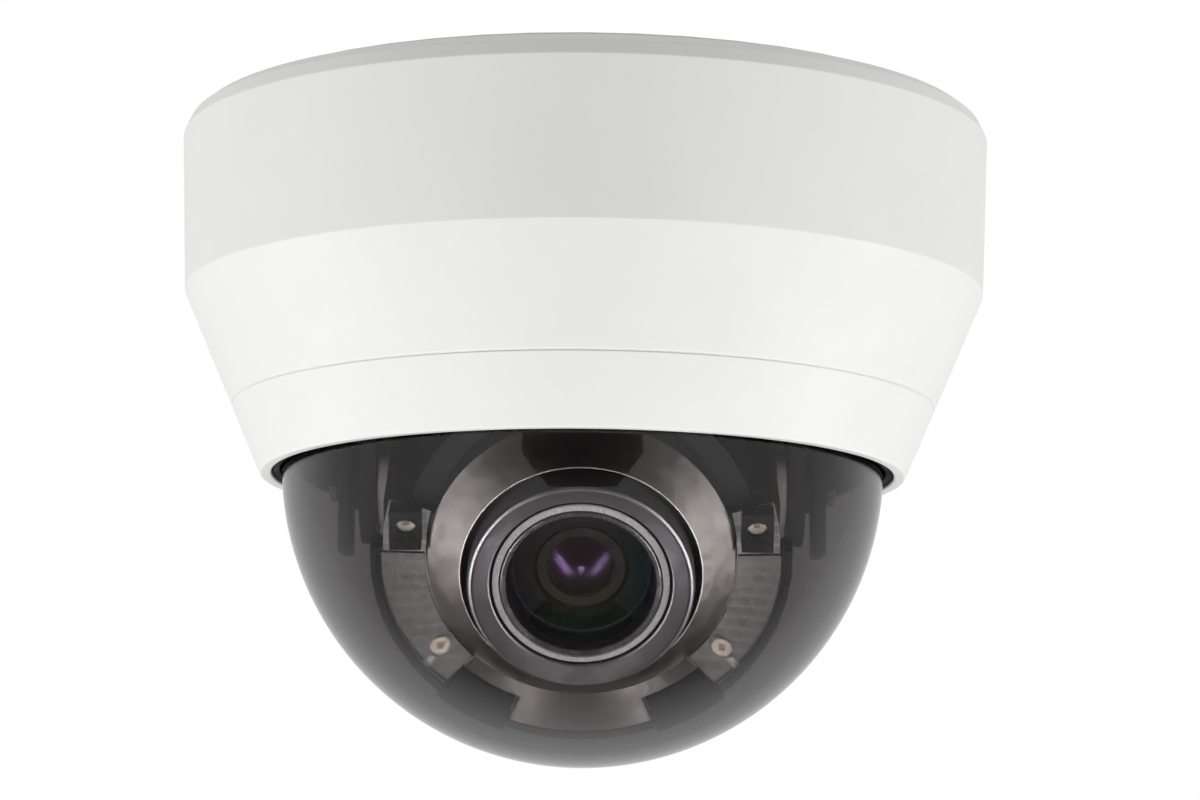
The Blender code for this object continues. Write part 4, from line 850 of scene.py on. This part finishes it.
def make_lamps():
    """Soft lamps for the body, and lamps for the pieces inside the dome only.

    The strips light the face from both sides, the crescents and the spark show in the rear glass,
    and the inner lamp lifts the rest of the head without a highlight.
    """
    inside = [node + "_fine" for node, body in BODY_OF.items()
              if body not in ("base", "cover") and node not in ("front_face", "lens_hood")]
    ringed = ["front_face_fine", "lens_hood_fine", "lens_bezel", "lens_knurl"]
    rear = ["rear_lens_fine"]
    leds = ["led_feet", *(f"ir_led_{i}_{part}" for i in range(1, 5) for part in ("cup", "die"))]
    for word, way in (("left", -1), ("right", 1)):
        make_light(f"key_{word}", (way * 0.50, -0.75, -1.25), (0.9, 0.7), 10.0)
        make_light(f"side_{word}", (way * 1.50, -0.05, -0.55), (0.8, 0.8), 11.0)
        make_light(f"strip_{word}", (way * 1.15, -0.35, -0.42), (0.45, 0.45), 135.0, ringed)
        make_light(f"led_{word}", (way * 0.60, -0.85, -0.75), (0.5, 0.5), 90.0, leds)
        make_light(f"crescent_{word}", (way * 0.50, -0.48, -0.84), (0.12, 0.60), 80.0, rear)
    make_light("inner", (0.0, -1.00, -0.80), (0.9, 0.6), 95.0, inside, glossy=False)
    make_light("spark", (0.0, -0.50, -0.92), (0.07, 0.07), 16.0, rear)


def make_light(name, place, size, power, only=(), glossy=True):
    """A large soft lamp that doesn't show in reflections, or one for a few pieces only."""
    data = bpy.data.lights.new(name, "AREA")
    data.shape = "RECTANGLE"
    data.size, data.size_y = size
    data.energy = power
    lamp = bpy.data.objects.new(name, data)
    lamp.location = place
    lamp.visible_camera = False
    lamp.visible_transmission = False
    if only:
        lit = bpy.data.collections.new(name + "_lit")
        for piece in only:
            lit.objects.link(bpy.data.objects[piece])
        lamp.light_linking.receiver_collection = lit
    lamp.visible_glossy = bool(only) and glossy
    bpy.context.scene.collection.objects.link(lamp)
    aim(lamp, (0.0, 0.0, -0.05))


def make_card(camera):
    """A dark card in front of the camera. It only shows in reflections, as a patch in the dome."""
    near = 0.02
    foot, shoulder, top = (0.150, -0.086), (0.280, 0.067), (0.280, 0.40)
    right = [foot, shoulder, top]
    outline = [(-foot[0], foot[1]), *right, (-top[0], top[1]), (-shoulder[0], shoulder[1])]
    mesh = bpy.data.meshes.new("dark_card")
    mesh.from_pydata([(x, y, -near) for x, y in outline], [], [tuple(range(len(outline)))])
    card = bpy.data.objects.new("dark_card", mesh)
    bpy.context.scene.collection.objects.link(card)
    card.matrix_world = camera.matrix_world
    for way in ("camera", "diffuse", "shadow", "transmission", "volume_scatter"):
        setattr(card, "visible_" + way, False)
    mesh.materials.append(plastic("dark_card", (0.004, 0.004, 0.004), 0.9))


def make_floor():
    """A pale floor far below, which doesn't show in the dome."""
    bpy.ops.mesh.primitive_plane_add(size=8.0, location=(0.0, 0.0, -1.6))
    floor = bpy.context.object
    floor.name = "studio_floor"
    floor.data.materials.append(plastic("floor_white", (0.82, 0.82, 0.82), 0.8, tint=0.98))
    floor.visible_glossy = False
    floor.visible_diffuse = False


def set_render():
    """Plain colours, and enough bounces for glass behind glass."""
    scene = bpy.context.scene
    scene.view_settings.view_transform = "Standard"
    scene.cycles.transmission_bounces = 24
    scene.cycles.max_bounces = 24
    scene.cycles.transparent_max_bounces = 24


make_cover()
make_dome()
make_head()
make_yoke()
make_bay()
make_board_parts()
make_jack_contacts()
make_led_feet()
make_world()
make_card(make_camera())
make_lamps()
make_floor()
set_render()
